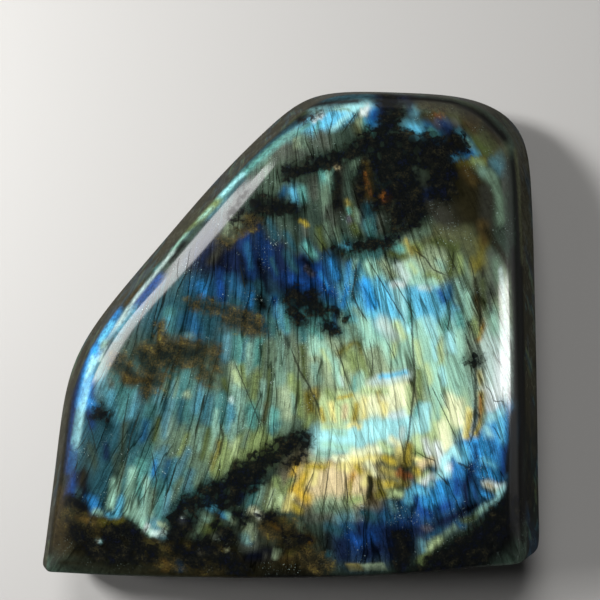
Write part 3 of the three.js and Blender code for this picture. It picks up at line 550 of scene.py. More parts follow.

# Colours that follow the rim and the wall under it. They have no feathering along the grain.
# Some are painted light: highlight lines along the arrises and painted shade on the right wall.
rimStrokes = [
    ("umber", 2.6, (14, 52), (2, 49.4), (-8, 42.4), (-16, 35.4), (-24, 26.4), (-32, 17), (-40, 7.4),
     (-46, 0.4)),
    ("umber", 2.6, (-46, 0.4), (-51.5, -7), (-55, -14), (-57.6, -22), (-59.4, -31), (-60.6, -42),
     (-62, -56)), ("wall", 0.9, (4, 51.4), (-9, 44.4), (-20, 33.4), (-30, 22)),
    ("bark", 0.8, (-33, 17.4), (-41, 8), (-47.4, 1)), ("moss", 1, (1, 46.4), (-4.4, 43.4)),
    ("bark", 0.8, (-21, 27.4), (-23, 25)), ("moss", 0.9, (-27.4, 19), (-30.4, 16)),
    ("teal", 0.6, (-23, 25.4), (-25.6, 22.4)),
    ("ink", 0.9, (0, 44.8), (-6, 40.6), (-12, 35.4), (-17, 30.4), (-21, 26)),
    ("deepTeal", 0.6, (-1, 43.6), (-8, 38.2), (-14, 33), (-20, 27)),
    # The light seaGreen, ice and mint lines along the upper left arris, down to the mint line below, are
    # partly teal flash and partly a painted highlight along that edge.
    ("seaGreen", 0.8, (2, 42.8), (-5, 38.8), (-10, 34.6), (-15, 30.2), (-20.2, 24.8)),
    ("ice", 0.45, (-14, 31), (-16.6, 28.6), (-19.6, 25.8)),
    ("steel", 0.5, (-14, 29.4), (-19, 23.8), (-22.4, 20.4)),
    ("fern", 0.8, (-20.4, 24.4), (-24, 21), (-28, 16.8)), ("mint", 0.4, (-22, 22.6), (-25, 20)),
    ("steel", 0.7, (-26.4, 16.9), (-28.6, 15)), ("mint", 0.45, (-28.4, 16.2), (-31.6, 12.4)),
    ("darkSage", 1.2, (-24.6, 18.4), (-28.4, 13.6), (-31.4, 9.6), (-34, 6.4)),
    ("ink", 0.7, (-28.6, 14), (-31.6, 10)), ("cobalt", 1.3, (-34.6, 5.2), (-38, 1.6), (-41, -1.8)),
    ("lagoon", 1.1, (-41, -2.2), (-44, -6), (-45.4, -8.6)), ("deepTeal", 0.7, (-45.6, -8), (-48, -13)),
    ("darkSage", 0.9, (-33.4, 12), (-37, 7.6)), ("bark", 0.9, (-39.6, 4), (-42.8, -0.6)),
    ("teal", 0.5, (-35.2, 8.4), (-36, 7.4)),
    # The thin pearl line is a painted highlight along the left arris.
    ("pearl", 0.3, (-31.4, 12), (-37, 5), (-41, 0), (-45, -6), (-47.4, -10), (-49.4, -14.6)),
    ("deepBlue", 0.9, (-53.8, -16), (-56.2, -24), (-57.6, -34), (-58.4, -43)),
    ("azure", 1.2, (-45.8, -3), (-48.4, -7.4), (-51, -12.4)), ("sky", 0.8, (-47, -6), (-49.6, -10)),
    ("celadon", 0.8, (-48.6, -10.6), (-50.6, -14.4)),
    # The cyan and ice lines along the lower left rim, here and on the next two lines, are flash with a
    # painted sheen along the edge.
    ("cyan", 1.3, (-51.2, -13), (-52.8, -18), (-53.6, -23), (-54.4, -26)),
    ("ice", 0.7, (-51.6, -14.6), (-52.6, -18), (-53.2, -22), (-54, -25.6)),
    ("ice", 0.8, (-54.2, -26), (-55.2, -31), (-56.2, -35.6)), ("lagoon", 0.5, (-55.4, -28), (-56.8, -36)),
    ("azure", 0.7, (-56.6, -37.4), (-57.4, -42)), ("cobalt", 0.9, (-57.5, -42), (-57.3, -49)),
    ("ink", 1, (-58, -49.4), (-56.4, -50.6), (-53.6, -52)), ("bark", 2.4, (-60.6, -50), (-61.6, -62)),
    ("umber", 1.6, (-63.4, -48), (-64.4, -64)), ("deepTeal", 1.6, (6, 50), (14, 50.6), (19, 50.4)),
    ("navy", 1.6, (20, 50.6), (27, 50.4)), ("ink", 1.6, (28, 50.2), (38, 49.4), (46, 46), (51.4, 41)),
    ("bark", 1.2, (30, 48), (38, 47.2), (44, 44.4)), ("ink", 0.7, (2, 48.6), (8, 48.8), (14, 49)),
    # Painted shade: the near-black pitch and ink strokes on the right wall, here to the ink two lines
    # below, stand for the shadow on that side.
    ("pitch", 2.6, (54.6, 34), (55, 18), (55.2, 4), (55.4, -12), (55.4, -30), (54.6, -46), (53, -56)),
    ("ink", 1.4, (58, 36), (58, 16), (58.4, -6), (58.6, -30), (58, -54)),
    ("ink", 1, (52.6, 12), (53, 2), (53.2, -10), (53, -24)),
    ("lichen", 0.6, (54.8, 38), (55.4, 26), (55.8, 10)),
    # The thin pearl line is a painted highlight along the right edge, over the one the panel light makes.
    ("pearl", 0.3, (48.6, 7.4), (49.2, 3), (49.8, -4), (50, -14), (50, -24)),
    # More painted shade, near black, on the lower right wall and its arris.
    ("ink", 1.5, (52.9, -27.6), (52.7, -38), (52.2, -50)), ("pitch", 1.2, (52.6, -46), (51.6, -58)),
    # The pale brass and stone lines are a painted highlight along the bottom arris.
    ("brass", 0.25, (11.8, -64.3), (14.4, -64.4)), ("stone", 0.25, (15.2, -64.5), (20, -64.2)),
    ("umber", 1.3, (-62, -67), (-40, -67.4), (-10, -67.8)),
    ("ink", 1.3, (-8, -67.8), (14, -67.8), (34, -67)),
]

# Dark inclusions: half width, then the way. They are near black, with a ragged edge.
inclusions = [
    (2.6, (22, 49.4), (22.6, 45), (21, 42)), (4.2, (18, 37.6), (24, 36.6), (31, 35.6)),
    (5, (22, 33), (24.4, 27), (26, 22)), (2.2, (14, 36.8), (19, 39.4), (25, 39.2)),
    (1.7, (-3, 30.6), (2, 31.6), (7, 33.6), (13, 36)), (1.1, (3.8, 45.6), (1, 44.8)),
    (3.4, (32, 38), (34.6, 31), (34, 27)), (2.4, (38.2, 39.4), (38.8, 37.4)),
    (1.3, (40.6, 37.2), (37, 36.6)), (1.8, (-10.4, 22.6), (-5, 22.6), (-1.4, 21.6)),
    (1.1, (-14.4, 21), (-16.6, 18.8)),
    (1.2, (12.8, 12.6), (16, 13.2), (20, 13.6), (23, 15.6), (25.4, 19)), (0.6, (8.2, 12.4), (9.2, 11.4)),
    (1.2, (22.6, 18), (27, 21.4)), (0.9, (14.4, 31), (14.8, 24)), (0.7, (8.6, 30), (9, 22)),
    (1, (18.4, 31), (18.2, 22)), (2.3, (-1.6, 0.8), (2.4, 0.6), (4.4, -2)), (1, (5, -1.6), (10.4, -3.6)),
    (1.2, (6, -5.6), (8, -7)), (1.6, (-1.8, -2), (0.2, -4.8)), (0.6, (2, 8.2), (3.4, 6.6)),
    (0.45, (-13.3, 26.2), (-15, 23.8), (-16.4, 21.8)), (0.3, (-13.8, 27.8), (-15.4, 25.8)),
    (1.1, (-49.4, -27.4), (-47.8, -28.4)), (0.45, (-48.6, -25.4), (-49, -27)),
    (0.4, (-51.4, -28.8), (-49, -28.4)), (0.45, (-46.4, -28), (-48, -28.2)),
    (0.4, (-47, -29.8), (-48, -28.6)), (2.3, (0.6, -33.6), (-4, -35.4), (-9, -38.4), (-13.6, -41.4)),
    (2.8, (-13, -41.4), (-18, -45.4), (-22, -47.8)), (1.8, (-22, -48), (-27.4, -49.6), (-31, -53.6)),
    (2.2, (-10, -41.4), (-14.6, -46), (-19, -49.4)), (1.2, (0.8, -37.4), (-3.4, -39.6)),
    (2, (-27, -54), (-31.4, -58)), (1.2, (-15.4, -52.4), (-12.8, -53)), (1.4, (-20, -55), (-17, -58.4)),
    (2.8, (-47, -58.6), (-40.6, -58.4)), (3, (-46.4, -62.4), (-38, -62)),
    (1.8, (-30.4, -60.4), (-25, -64)), (1.6, (-2.4, -58.6), (1, -58)), (1.4, (-9, -51.8), (-6.6, -52.6)),
    (4.2, (34, -66), (44, -60.6), (52, -52.4)), (2.2, (24, -58), (25, -65)),
    (1.4, (42.4, -14.4), (41.6, -13.8)), (2.4, (-24, -60), (-14, -66)),
    (1.5, (-57.6, -50.4), (-54.6, -51.4)), (2, (-51, -63), (-56, -58.4)),
]

# Brown clouds of fine specks: half width, then the way. Their edge is soft and broken.
clouds = [
    (2.2, (-44.6, -15), (-41, -18.4)), (2.6, (-38, -13.4), (-35, -18.6)), (3.4, (-33, -13), (-25, -13)),
    (1.6, (-36.6, -20.6), (-37, -22.4)), (1.6, (-24, -16.4), (-22, -19)),
    (1.2, (-26, -0.8), (-20, -2), (-16, -3)), (2.2, (-16.6, -4.2), (-13, -4.8), (-10.6, -6)),
    (1.5, (-12.8, 18.6), (-11.2, 18.4)), (1.4, (-17.6, 14.6), (-15.4, 16.6)),
    (3, (-57, -55), (-52, -57.6)), (2.6, (-7, -55), (-2.6, -55.6)), (3, (-36, -63), (-20, -63.4)),
    (2.4, (0, -61), (5, -64)), (1.2, (-33.6, -6), (-33, -9.4)), (1.4, (-20.6, -12), (-20.8, -16)),
    (0.8, (16.4, 32), (17, 24.6)),
]

# Cracks and the dark borders of single strips: half width, then the way.
cracks = [
    (0.34, (26.2, 3), (26.7, -5), (27, -12), (27.5, -18), (27.2, -22), (26.5, -28), (26, -33),
     (24.8, -39)),
    (0.5, (39.4, -7), (41, -12), (42.1, -15), (42.2, -20), (42.3, -24.6), (42.2, -29), (41.6, -33),
     (40.6, -35.6)), (0.4, (42.4, 4.4), (43, 0), (43.4, -4), (43, -8)),
    (0.16, (-26.8, 13), (-27.2, 9), (-27.8, 6)), (0.14, (-29.7, 10.4), (-29.8, 6), (-29, 3.6)),
    (0.16, (-16.2, -13.6), (-12, -23.6), (-10.6, -27), (-8.4, -32.8)),
    (0.16, (-8.8, -21.6), (-11, -27), (-13, -34), (-14, -38.4)),
    (0.34, (-2.4, -11), (0, -17), (2.2, -20.6), (4.2, -25), (5.2, -29.4)),
    (0.18, (-53.2, -27.4), (-51.2, -33), (-50, -38.6)), (0.16, (-52.6, -33.6), (-56.6, -38.6)),
    (0.22, (9.8, 39.6), (12, 43), (14, 46)), (0.2, (15.6, 10.6), (20, 3.4), (25.6, -6)),
    (0.18, (19, 10.4), (24, 2), (28, -4.4)), (0.26, (27.4, 12), (30, 10), (32, 7.2), (35.2, 5.8)),
    (0.3, (13.6, 9.2), (13, 4), (12.4, 1.6), (14, -2), (16.4, -5.6)),
    (0.62, (16, -41.8), (17.2, -44.2), (16, -48.4)), (0.24, (33, -41.6), (36.2, -45.2)),
    (0.4, (38, -39.2), (41, -40.8)), (0.2, (27.6, -36.2), (30, -37.8), (32.4, -38.6), (33, -42)),
    (0.18, (31, -19.6), (34.6, -27), (38.2, -34.6)), (0.14, (33.4, -22), (36, -27)),
    (0.2, (7.2, -37.6), (6.6, -43), (5.5, -50), (5, -54.6)), (0.2, (11, -42), (11.6, -49)),
    (0.3, (-22.4, -21.6), (-24.2, -28.6), (-25.4, -33)), (0.22, (-41.4, -22), (-43, -30), (-43.8, -38)),
    (0.26, (-41.6, -36), (-44, -44), (-45.4, -48.6)), (0.26, (-38.8, -27), (-41.4, -33.6), (-42.4, -39)),
    (0.4, (-19.2, -29.4), (-18.4, -33), (-19.6, -38)), (0.18, (-37, -42), (-38.6, -51)),
    (0.2, (-26.2, -40), (-28.6, -47.4)), (0.2, (-29.6, -38.6), (-32.4, -47), (-33.6, -52)),
    (0.16, (44, -19.8), (46, -22), (47, -24.6), (49.4, -24.5), (50, -27.4)), (0.2, (0, 13.4), (3.4, 8.6)),
    (0.2, (3, 16.4), (7.4, 10.2)), (0.18, (5, 18.6), (8.8, 11.6)), (0.24, (36.9, 12.4), (36.6, 6.4)),
    (0.24, (-36.2, -36), (-35, -44), (-36.6, -52)), (0.2, (-41.2, -47.4), (-42.6, -51.6), (-44.6, -54)),
    (0.16, (40.6, 10.4), (41.6, 7), (41.9, 4)), (0.2, (8, 44.6), (7, 40), (7.4, 36)),
    (0.2, (3, 43), (4.4, 38)), (0.16, (0, 44), (-1.2, 38), (-0.6, 33)),
    (0.24, (-0.6, -21.6), (-1.2, -29)), (0.3, (-2.4, -39.6), (-1, -42), (-2.2, -47)),
    (0.2, (3.4, -41), (0.6, -47.6)), (0.2, (43.8, -38), (45.8, -42.6)), (0.2, (46.6, -30), (49.2, -34.6)),
    (0.24, (35.2, 1), (36, -3), (35.2, -8)), (0.18, (-6, -45), (-8.2, -51)),
    (0.16, (8, -9.6), (10.4, -16), (10.8, -19.4)), (0.16, (16.4, -8.8), (17.4, -14), (17, -19)),
    (0.14, (20.6, -9.6), (23, -14.6)), (0.22, (-11.4, -40.6), (-13, -44)), (0.18, (-14.6, 9), (-13, 2.4)),
]


# Smooth noise between -1 and 1 from random values on a square lattice, the same in every run.
def drift(u, v, seed):
    side = marking["lattice"]
    lattice = np.random.default_rng(seed).uniform(-1, 1, (side, side))
    i, j = np.floor(u).astype(int), np.floor(v).astype(int)
    f, g = u - i, v - j
    f, g = f * f * (3 - 2 * f), g * g * (3 - 2 * g)

    def at(a, b):
        return lattice[(i + a) % side, (j + b) % side]

    return (at(0, 0) * (1 - f) + at(1, 0) * f) * (1 - g) + (at(0, 1) * (1 - f) + at(1, 1) * f) * g


# The sum of several drifts. A row is a height, the lengths across and along, and a seed.
def drifts(u, v, rows, seed=0):
    return sum(height * drift(u / wide, v / long, seed + own) for height, wide, long, own in rows)


# 0 below low and 1 above high, with a smooth step between
def smooth(low, high, x):
    share = np.clip((x - low) / (high - low), 0, 1)
    return share * share * (3 - 2 * share)


# From the plan of the stone to the layout of the markings: shift, then turn.
def toLayout(x, y):
    turn = math.radians(layout["turn"])
    du, dv = x - layout["middle"][0], y - layout["middle"][1]
    return du * math.cos(turn) - dv * math.sin(turn), du * math.sin(turn) + dv * math.cos(turn)


# The grain leans more to the left the further right and up it lies. Its lines are those of equal
# across = (u - offset + shear * v) * exp(fan * v), with u and v in units of the layout's reach.
grain = {"offset": 0.717, "shear": 0.324, "fan": 0.41}


def grainAcross(u, v, exp=np.exp):
    reach = layout["reach"]
    return (u - grain["offset"] * reach + v * grain["shear"]) * exp(v * (grain["fan"] / reach))


# How far a line of the grain moves across for each step along it.
def grainLean(u, v):
    reach = layout["reach"]
    return -grain["shear"] - grain["fan"] * (u / reach - grain["offset"] + grain["shear"] * v / reach)


# Distance to a way of straight pieces, signed by its side, and the share of the way that is passed
# at the nearest point.
def toLine(u, v, way):
    way = np.array(way, float)
    steps = np.hypot(*np.diff(way, axis=0).T)
    passed = np.concatenate([[0], np.cumsum(steps)]) / steps.sum()
    best, share = np.full_like(u, np.inf), np.zeros_like(u)
    for k, (a, b) in enumerate(zip(way[:-1], way[1:])):
        d = b - a
        t = np.clip(((u - a[0]) * d[0] + (v - a[1]) * d[1]) / (d @ d), 0, 1)
        du, dv = u - a[0] - t * d[0], v - a[1] - t * d[1]
        away = np.hypot(du, dv)
        side = np.where(du * d[1] - dv * d[0] < 0, -1, 1)
        nearer = away < np.abs(best)
        best = np.where(nearer, away * side, best)
        share = np.where(nearer, passed[k] + t * (passed[k + 1] - passed[k]), share)
    return best, share


# How the markings are laid on. A drift row is a height, the lengths across and along, and a seed.
marking = {
    "ground": "darkSage", "paintedTo": 3.4,  # the strokes end at this place on the profile
    "versions": {"flash": 3, "flashNext": 4},  # the two versions of the flash and their seeds
    "lattice": 97,  # random values on each side of a drift's lattice, before it repeats
    "along": ((0.4, 1.3, 15, 0), (0.2, 0.5, 6, 20)), "wander": ((0.3, 3, 3, 40),),
    "raggedU": ((0.6, 1.7, 1.7, 61), (0.3, 0.7, 0.7, 62)),
    "raggedV": ((0.6, 1.7, 1.7, 63), (0.3, 0.7, 0.7, 64)),
    "softEdge": (0.4, 0.75),  # in millimetres, and for each millimetre of half width
    "outside": -9.0,  # depth of a point far from every blot
    # cracks: taper, which is over after a sixth of the way, width of the tips, farthest distance
    # kept in half widths, where they fade, and how far apart the cracks of one channel lie
    "crackTaper": 6, "crackTip": 0.12, "crackFar": 60.0, "crackNear": (1.0, 2.0), "crackApart": 4.4,
}


# Lays strokes over the colour in place, each over the last: full inside its half width, gone a
# little outside it. The result is how far each point is covered by one stroke or another.
def paint(u, v, strokes, colour):
    cover = np.zeros(len(u))
    for name, half, *way in strokes:
        soft = marking["softEdge"][0] + marking["softEdge"][1] * half
        low, high = np.min(way, axis=0) - half - soft, np.max(way, axis=0) + half + soft
        k = np.flatnonzero((u > low[0]) & (u < high[0]) & (v > low[1]) & (v < high[1]))
        away = np.abs(toLine(u[k], v[k], way)[0])
        share = 1 - smooth(half - soft, half + soft, away)
        colour[k] += (np.array(linear(palette[name])) - colour[k]) * share[:, None]
        cover[k] = np.maximum(cover[k], share)
    return cover


# How deep a point lies inside the widest of some blots, in millimetres; negative outside.
def depthIn(u, v, blots):
    depth = np.full_like(u, marking["outside"])
    for half, *way in blots:
        depth = np.maximum(depth, half - np.abs(toLine(u, v, way)[0]))
    return depth


# Cracks that keep clear of each other share a channel. A channel holds the signed distance to its
# nearest crack in half widths, and how near that crack is.
def crackChannels(u, v):
    far = marking["crackFar"]
    channels = []
    for half, *way in cracks:
        away, share = toLine(u, v, way)
        taper = np.clip(np.minimum(share, 1 - share) * marking["crackTaper"], marking["crackTip"], 1)
        ratio = np.clip(away / (half * taper), -far, far)
        gap = np.abs(away)
        for channel in channels:
            if np.min(channel["gap"] + gap) > marking["crackApart"]:
                break
        else:
            channel = {"gap": np.full_like(u, np.inf), "ratio": np.full_like(u, far)}
            channels.append(channel)
        nearer = gap < channel["gap"]
        channel["ratio"] = np.where(nearer, ratio, channel["ratio"])
        channel["gap"] = np.where(nearer, gap, channel["gap"])
    return [(c["ratio"], 1 - smooth(*marking["crackNear"], c["gap"])) for c in channels]


# From 8-bit sRGB to linear light.
def linear(colour):
    return tuple((c / 255 / 12.92) if c <= 10 else ((c / 255 + 0.055) / 1.055) ** 2.4 for c in colour)


def addAttribute(mesh, name, kind, values):
    field = {"FLOAT": "value", "FLOAT_VECTOR": "vector", "FLOAT_COLOR": "color"}[kind]
    mesh.attributes.new(name, kind, "POINT").data.foreach_set(field, np.ravel(values).astype(np.float32))


# Puts the markings on the mesh: two versions of the flash, which the shader interleaves strip by
# strip, the depths in the dark marks, the cracks, and the place on the profile.
# The strokes of the flash include painted highlights along the edges and painted shade on the right wall.
def markStone(mesh, points, place):
    u, v = toLayout(points[:, 0], points[:, 1])
    across, lean = grainAcross(u, v), grainLean(u, v)
    upper = np.flatnonzero(place < marking["paintedTo"])
    rim = np.zeros(len(u))
    for name, seed in marking["versions"].items():
        along = drifts(across, v, marking["along"], seed)
        wander = drifts(u, v, marking["wander"], seed)
        colour = np.ones((len(u), 4))
        colour[:, :3] = linear(palette[marking["ground"]])
        painted = colour[upper, :3]
        paint((u + lean * along + wander)[upper], (v + along)[upper], faceStrokes, painted)
        rim[upper] = paint(u[upper], v[upper], rimStrokes, painted)
        colour[upper, :3] = painted
        addAttribute(mesh, name, "FLOAT_COLOR", colour)
    raggedU, raggedV = (x + drifts(u, v, marking[k]) for x, k in ((u, "raggedU"), (v, "raggedV")))
    dark, brown = (depthIn(raggedU, raggedV, blots) for blots in (inclusions, clouds))
    addAttribute(mesh, "marks", "FLOAT_VECTOR", np.stack([dark, brown, rim], 1))
    addAttribute(mesh, "place", "FLOAT", place)
    channels = crackChannels(u, v)
    print("cracks:", len(cracks), "in", len(channels), "channels")
    while len(channels) % 3:
        channels.append((np.full_like(u, marking["crackFar"]), np.zeros_like(u)))
    for k in range(0, len(channels), 3):
        for name, kind in (("cracks", 0), ("near", 1)):
            group = np.stack([channel[kind] for channel in channels[k : k + 3]], 1)
            addAttribute(mesh, f"{name}{k // 3}", "FLOAT_VECTOR", group)
    return len(channels) // 3


# A shader value that can be written in sums. Each operator adds its Math node.
class Wire:
    def __init__(self, finish, socket):
        self.finish, self.socket = finish, socket

    def maths(self, operation, *values):
        return self.finish.node("ShaderNodeMath", {"operation": operation}, dict(enumerate(values)))

    def __add__(self, other):
        return self.maths("ADD", self, other)

    def __sub__(self, other):
        return self.maths("SUBTRACT", self, other)

    def __rsub__(self, other):
        return self.maths("SUBTRACT", other, self)

    def __mul__(self, other):
        return self.maths("MULTIPLY", self, other)

    def __abs__(self):
        return self.maths("ABSOLUTE", self)

    __radd__, __rmul__ = __add__, __mul__

    def exp(self):
        return self.maths("EXPONENT", self)

    def least(self, other):
        return self.maths("MINIMUM", self, other)

    def most(self, other):
        return self.maths("MAXIMUM", self, other)

    # 0 below low and 1 above high, with a smooth step between
    def step(self, low, high):
        settings = {"interpolation_type": "SMOOTHSTEP"}
        ends = {"Value": self, "From Min": low, "From Max": high}
        return self.finish.node("ShaderNodeMapRange", settings, ends)

    # stretches low..high to a..b, and holds the ends
    def span(self, low, high, a, b):
        ends = {"Value": self, "From Min": low, "From Max": high, "To Min": a, "To Max": b}
        return self.finish.node("ShaderNodeMapRange", {}, ends)


# Builds the nodes of a material or a world.
class Finish:
    def __init__(self, owner):
        owner.use_nodes = True
        self.owner, self.nodes, self.links = owner, owner.node_tree.nodes, owner.node_tree.links
        self.nodes.clear()

    # Adds a node: its settings first, then a number, colour or wire for each input.
    def node(self, kind, settings, inputs, output=0):
        made = self.nodes.new(kind)
        for key, value in settings.items():
            if key == "stops":
                ramp = made.color_ramp.elements
                while len(ramp) < len(value):
                    ramp.new(0.5)
                for stop, (place, name) in zip(ramp, value):
                    stop.position, stop.color = place, self.tint(name)
            else:
                setattr(made, key, value)
        sockets = {s.identifier: s for s in made.inputs}
        for key, value in inputs.items():
            socket = made.inputs[key] if isinstance(key, int) else sockets[key]
            if isinstance(value, Wire):
                self.links.new(value.socket, socket)
            else:
                socket.default_value = value
        return Wire(self, made.outputs[output]) if made.outputs else None

    def mix(self, share, a, b, blend="MIX"):
        settings = {"data_type": "RGBA", "blend_type": blend}
        inputs = {"Factor_Float": share, "A_Color": a, "B_Color": b}
        return self.node("ShaderNodeMix", settings, inputs, 2)

    def times(self, a, b):
        return self.mix(1.0, a, b, "MULTIPLY")

    # a colour seen through a tinted glaze where the share is high
    def glaze(self, share, colour, name):
        return self.mix(share, colour, self.times(colour, self.tint(name)))

    def ramp(self, name, share):
        return self.node("ShaderNodeValToRGB", {"stops": polish["ramps"][name]}, {"Fac": share})

    def attribute(self, name, output="Vector"):
        return self.node("ShaderNodeAttribute", {"attribute_name": name}, {}, output)

    def parts(self, vector):
        return [self.node("ShaderNodeSeparateXYZ", {}, {"Vector": vector}, k) for k in range(3)]

    def vector(self, x, y, z=0.0):
        return self.node("ShaderNodeCombineXYZ", {}, {"X": x, "Y": y, "Z": z})

    def noise(self, at, scale=1.0, detail=2.0, roughness=0.5):
        inputs = {"Vector": at, "Scale": scale, "Detail": detail, "Roughness": roughness}
        return self.node("ShaderNodeTexNoise", {}, inputs)

    def cells(self, at, scale=1.0, feature="F1", output="Color"):
        inputs = {"Vector": at, "Scale": scale}
        return self.node("ShaderNodeTexVoronoi", {"feature": feature}, inputs, output)

    def grey(self, value):
        return self.node("ShaderNodeCombineColor", {}, {0: value, 1: value, 2: value})

    def tint(self, name):
        return (*linear(palette[name]), 1)


# The finish. A pair of ends is where something begins and where it is full.
polish = {
    "metal": 0.1, "roughness": 0.42, "coatRoughness": 0.135, "coatIor": 1.5,
    "coatLost": {"crack": 0.6, "wall": 0.85, "hole": 0.4},
    # places on the profile: where wall and rock begin, and how coat and sheen grow from face to back
    "wallEnds": (1.45, 1.8), "rockEnds": (2.1, 2.6),
    "coatGrows": (0.6, 1.2, 0.24, 1.0), "sheenGrows": (2.6, 4.4, 0.12, 0.75),
    # brightness of the flash: everywhere, more on the face, and the share of the grit in each
    "gain": 0.44, "faceGain": 0.24, "rimGrit": 1.4, "faceGrit": 0.8,
    "tones": {"strip": 0.36, "streak": 0.4, "hair": 0.28, "speck": 0.8},
    # strips that take the second version, the bright parts that calm the grain, the quiet broad
    # corner and the dark lower right one
    "nextEnds": (0.44, 0.56), "glowEnds": (0.25, 0.75), "glowCalm": 0.3, "glowTones": 0.5,
    "quiet": 0.75, "quietAcross": (30.0, 44.0), "quietUp": (2.0, 14.0), "cornerEnds": (56.0, 76.0),
    # noise in the solid: scale, detail, roughness
    "noises": {
        "shiver": (0.9, 2.0, 0.5), "speck": (3.4, 2.0, 0.6), "grit": (0.9, 4.0, 0.7),
        "wobble": (1.6, 2.0, 0.5), "fleck": (2.4, 3.0, 0.7), "fleckPatch": (0.16, 2.0, 0.5),
        "fine": (2.6, 3.0, 0.65), "mottle": (0.42, 3.0, 0.6), "rockTone": (0.22, 5.0, 0.6),
    },
    # noise along the grain: scale across and along, how far it shivers and bends, and its place
    "grain": {
        "strip": (0.36, 0.045, 0.04, 0.4, 0.0), "streak": (1.0, 0.07, 0.0, 0.6, 5.0),
        "hair": (3.4, 0.16, 0.0, 0.0, 9.0),
    },
    "bendScale": 0.12, "patchScale": (0.09, 0.06), "sheenScale": (0.16, 0.05, 0.16), "blockScale": 0.75,
    # fractures: the same row, half width of the line, width of the shade beside it, share of both,
    # and the ends of where they come up
    "fractures": {
        "long": ((0.34, 0.022, 0.03, 0.5, 14.0), 0.017, 0.14, 0.75, 0.4, (-1.0, 0.0)),
        "middling": ((1.0, 0.035, 0.05, 0.0, 24.0), 0.024, 0.16, 0.5, 0.25, (0.36, 0.58)),
        "fine": ((2.2, 0.07, 0.08, 0.0, 34.0), 0.036, 0.2, 0.4, 0.15, (0.62, 0.42)),
        "leaning": ((0.6, 0.04, 0.03, 0.0, 21.0), 0.02, 0.12, 0.55, 0.2, (2.0, 12.0)),
    },
    "mostShade": 0.8, "border": 0.25, "borderWidth": 0.07,
    "crack": {"share": 0.75, "ends": (0.2, 1.3), "wobble": 1.4},
    "scuff": {"share": 0.4, "ends": (0.62, 0.72), "patchEnds": (0.5, 0.6)},
    # dark marks: share laid on, ends in millimetres of depth, and what makes their edges ragged
    "cloud": {"share": 0.85, "ends": (-1.8, 1.2), "ragged": {"grit": 3.6, "mottle": 3.0}},
    "halo": {"share": 0.6, "ends": (-2.8, 0.6), "ragged": {"grit": 4.0, "mottle": 4.0}},
    "hole": {"share": 0.96, "ends": (-1.0, 0.8), "ragged": {"block": 1.3, "grit": 4.2, "mottle": 2.6}},
    "gemEnds": (0.84, 0.98), "gemOpen": 0.5,
    "ramps": {
        "cloud": ((0.36, "ink"), (0.46, "umber"), (0.57, "bark"), (0.7, "olive"), (0.85, "ochre")),
        "hole": ((0.36, "night"), (0.46, "pitch"), (0.56, "ink"), (0.66, "umber"), (0.8, "bark")),
        "rock": ((0.34, "pitch"), (0.5, "umber"), (0.62, "wall"), (0.76, "lichen")),
        "sheen": ((0.35, "navy"), (0.48, "denim"), (0.58, "teal"), (0.7, "fern")),
    },
}


# A place in a noise that is stretched along the grain. The parts of the finish hand on two things:
# make builds the nodes, and at holds the wires they share.
def stretched(make, at, way, row):
    across, along, shiver, bend, place = row
    return make.vector(way * across + at.shiver * shiver + at.bend * bend, at.v * along, place)


# What the parts of the finish share: places on the stone, marks, noises and the grain's strips,
# which are long cells with a tone each, and the streaks and hairs in them.
def stonePlaces(make):
    at = SimpleNamespace()
    x, y, at.height = (p * metre for p in make.parts(make.node("ShaderNodeTexCoord", {}, {}, "Object")))
    at.u, at.v = toLayout(x, y)
    at.across = grainAcross(at.u, at.v, Wire.exp)
    at.solid = make.vector(x, y, at.height)
    at.place = make.attribute("place", "Fac")
    at.dark, at.brown, at.rim = make.parts(make.attribute("marks"))
    for name, given in polish["noises"].items():
        setattr(at, name, make.noise(at.solid, *given))
    at.shiver = at.shiver - 0.5
    at.bend = make.noise(make.vector(at.u * polish["bendScale"], at.v * polish["bendScale"], 3.0)) - 0.5
    strip, streak, hair = (stretched(make, at, at.across, row) for row in polish["grain"].values())
    at.strip, at.pick = make.parts(make.cells(strip))[:2]
    fromEdge = make.cells(strip, 1.0, "DISTANCE_TO_EDGE", "Distance")
    at.border = 1 - fromEdge.step(0.0, polish["borderWidth"])
    at.streak, at.hair = make.noise(streak, roughness=0.6), make.noise(hair, roughness=0.6)
    at.block, at.gem = make.parts(make.cells(at.solid, polish["blockScale"]))[:2]
    return at


# Level lines of noise stretched along them, each with a shade that fades away to one side.
def fractures(make, at):
    wide, long = polish["patchScale"]
    patches = make.noise(make.vector(at.u * wide, at.v * long, 31.0))
    lines, shades = at.border * polish["border"], 0.0
    for name, given in polish["fractures"].items():
        row, thin, fade, lineShare, shadeShare, ends = given
        way, where = at.across, patches
        if name == "leaning":  # these lean out of the grain, and only to the right
            way, where = at.u + at.v * 0.36, at.u - at.v * 0.1
        level = make.noise(stretched(make, at, way, row), roughness=0.4) - 0.5
        line = 1 - abs(level).step(0.0, thin)
        shade = (1 - level.step(0.0, fade)) * level.step(-thin, 0.0)
        lines = lines.most(line * where.step(*ends) * lineShare)
        shades = shade * where.step(*ends) * shadeShare + shades
    return lines, shades


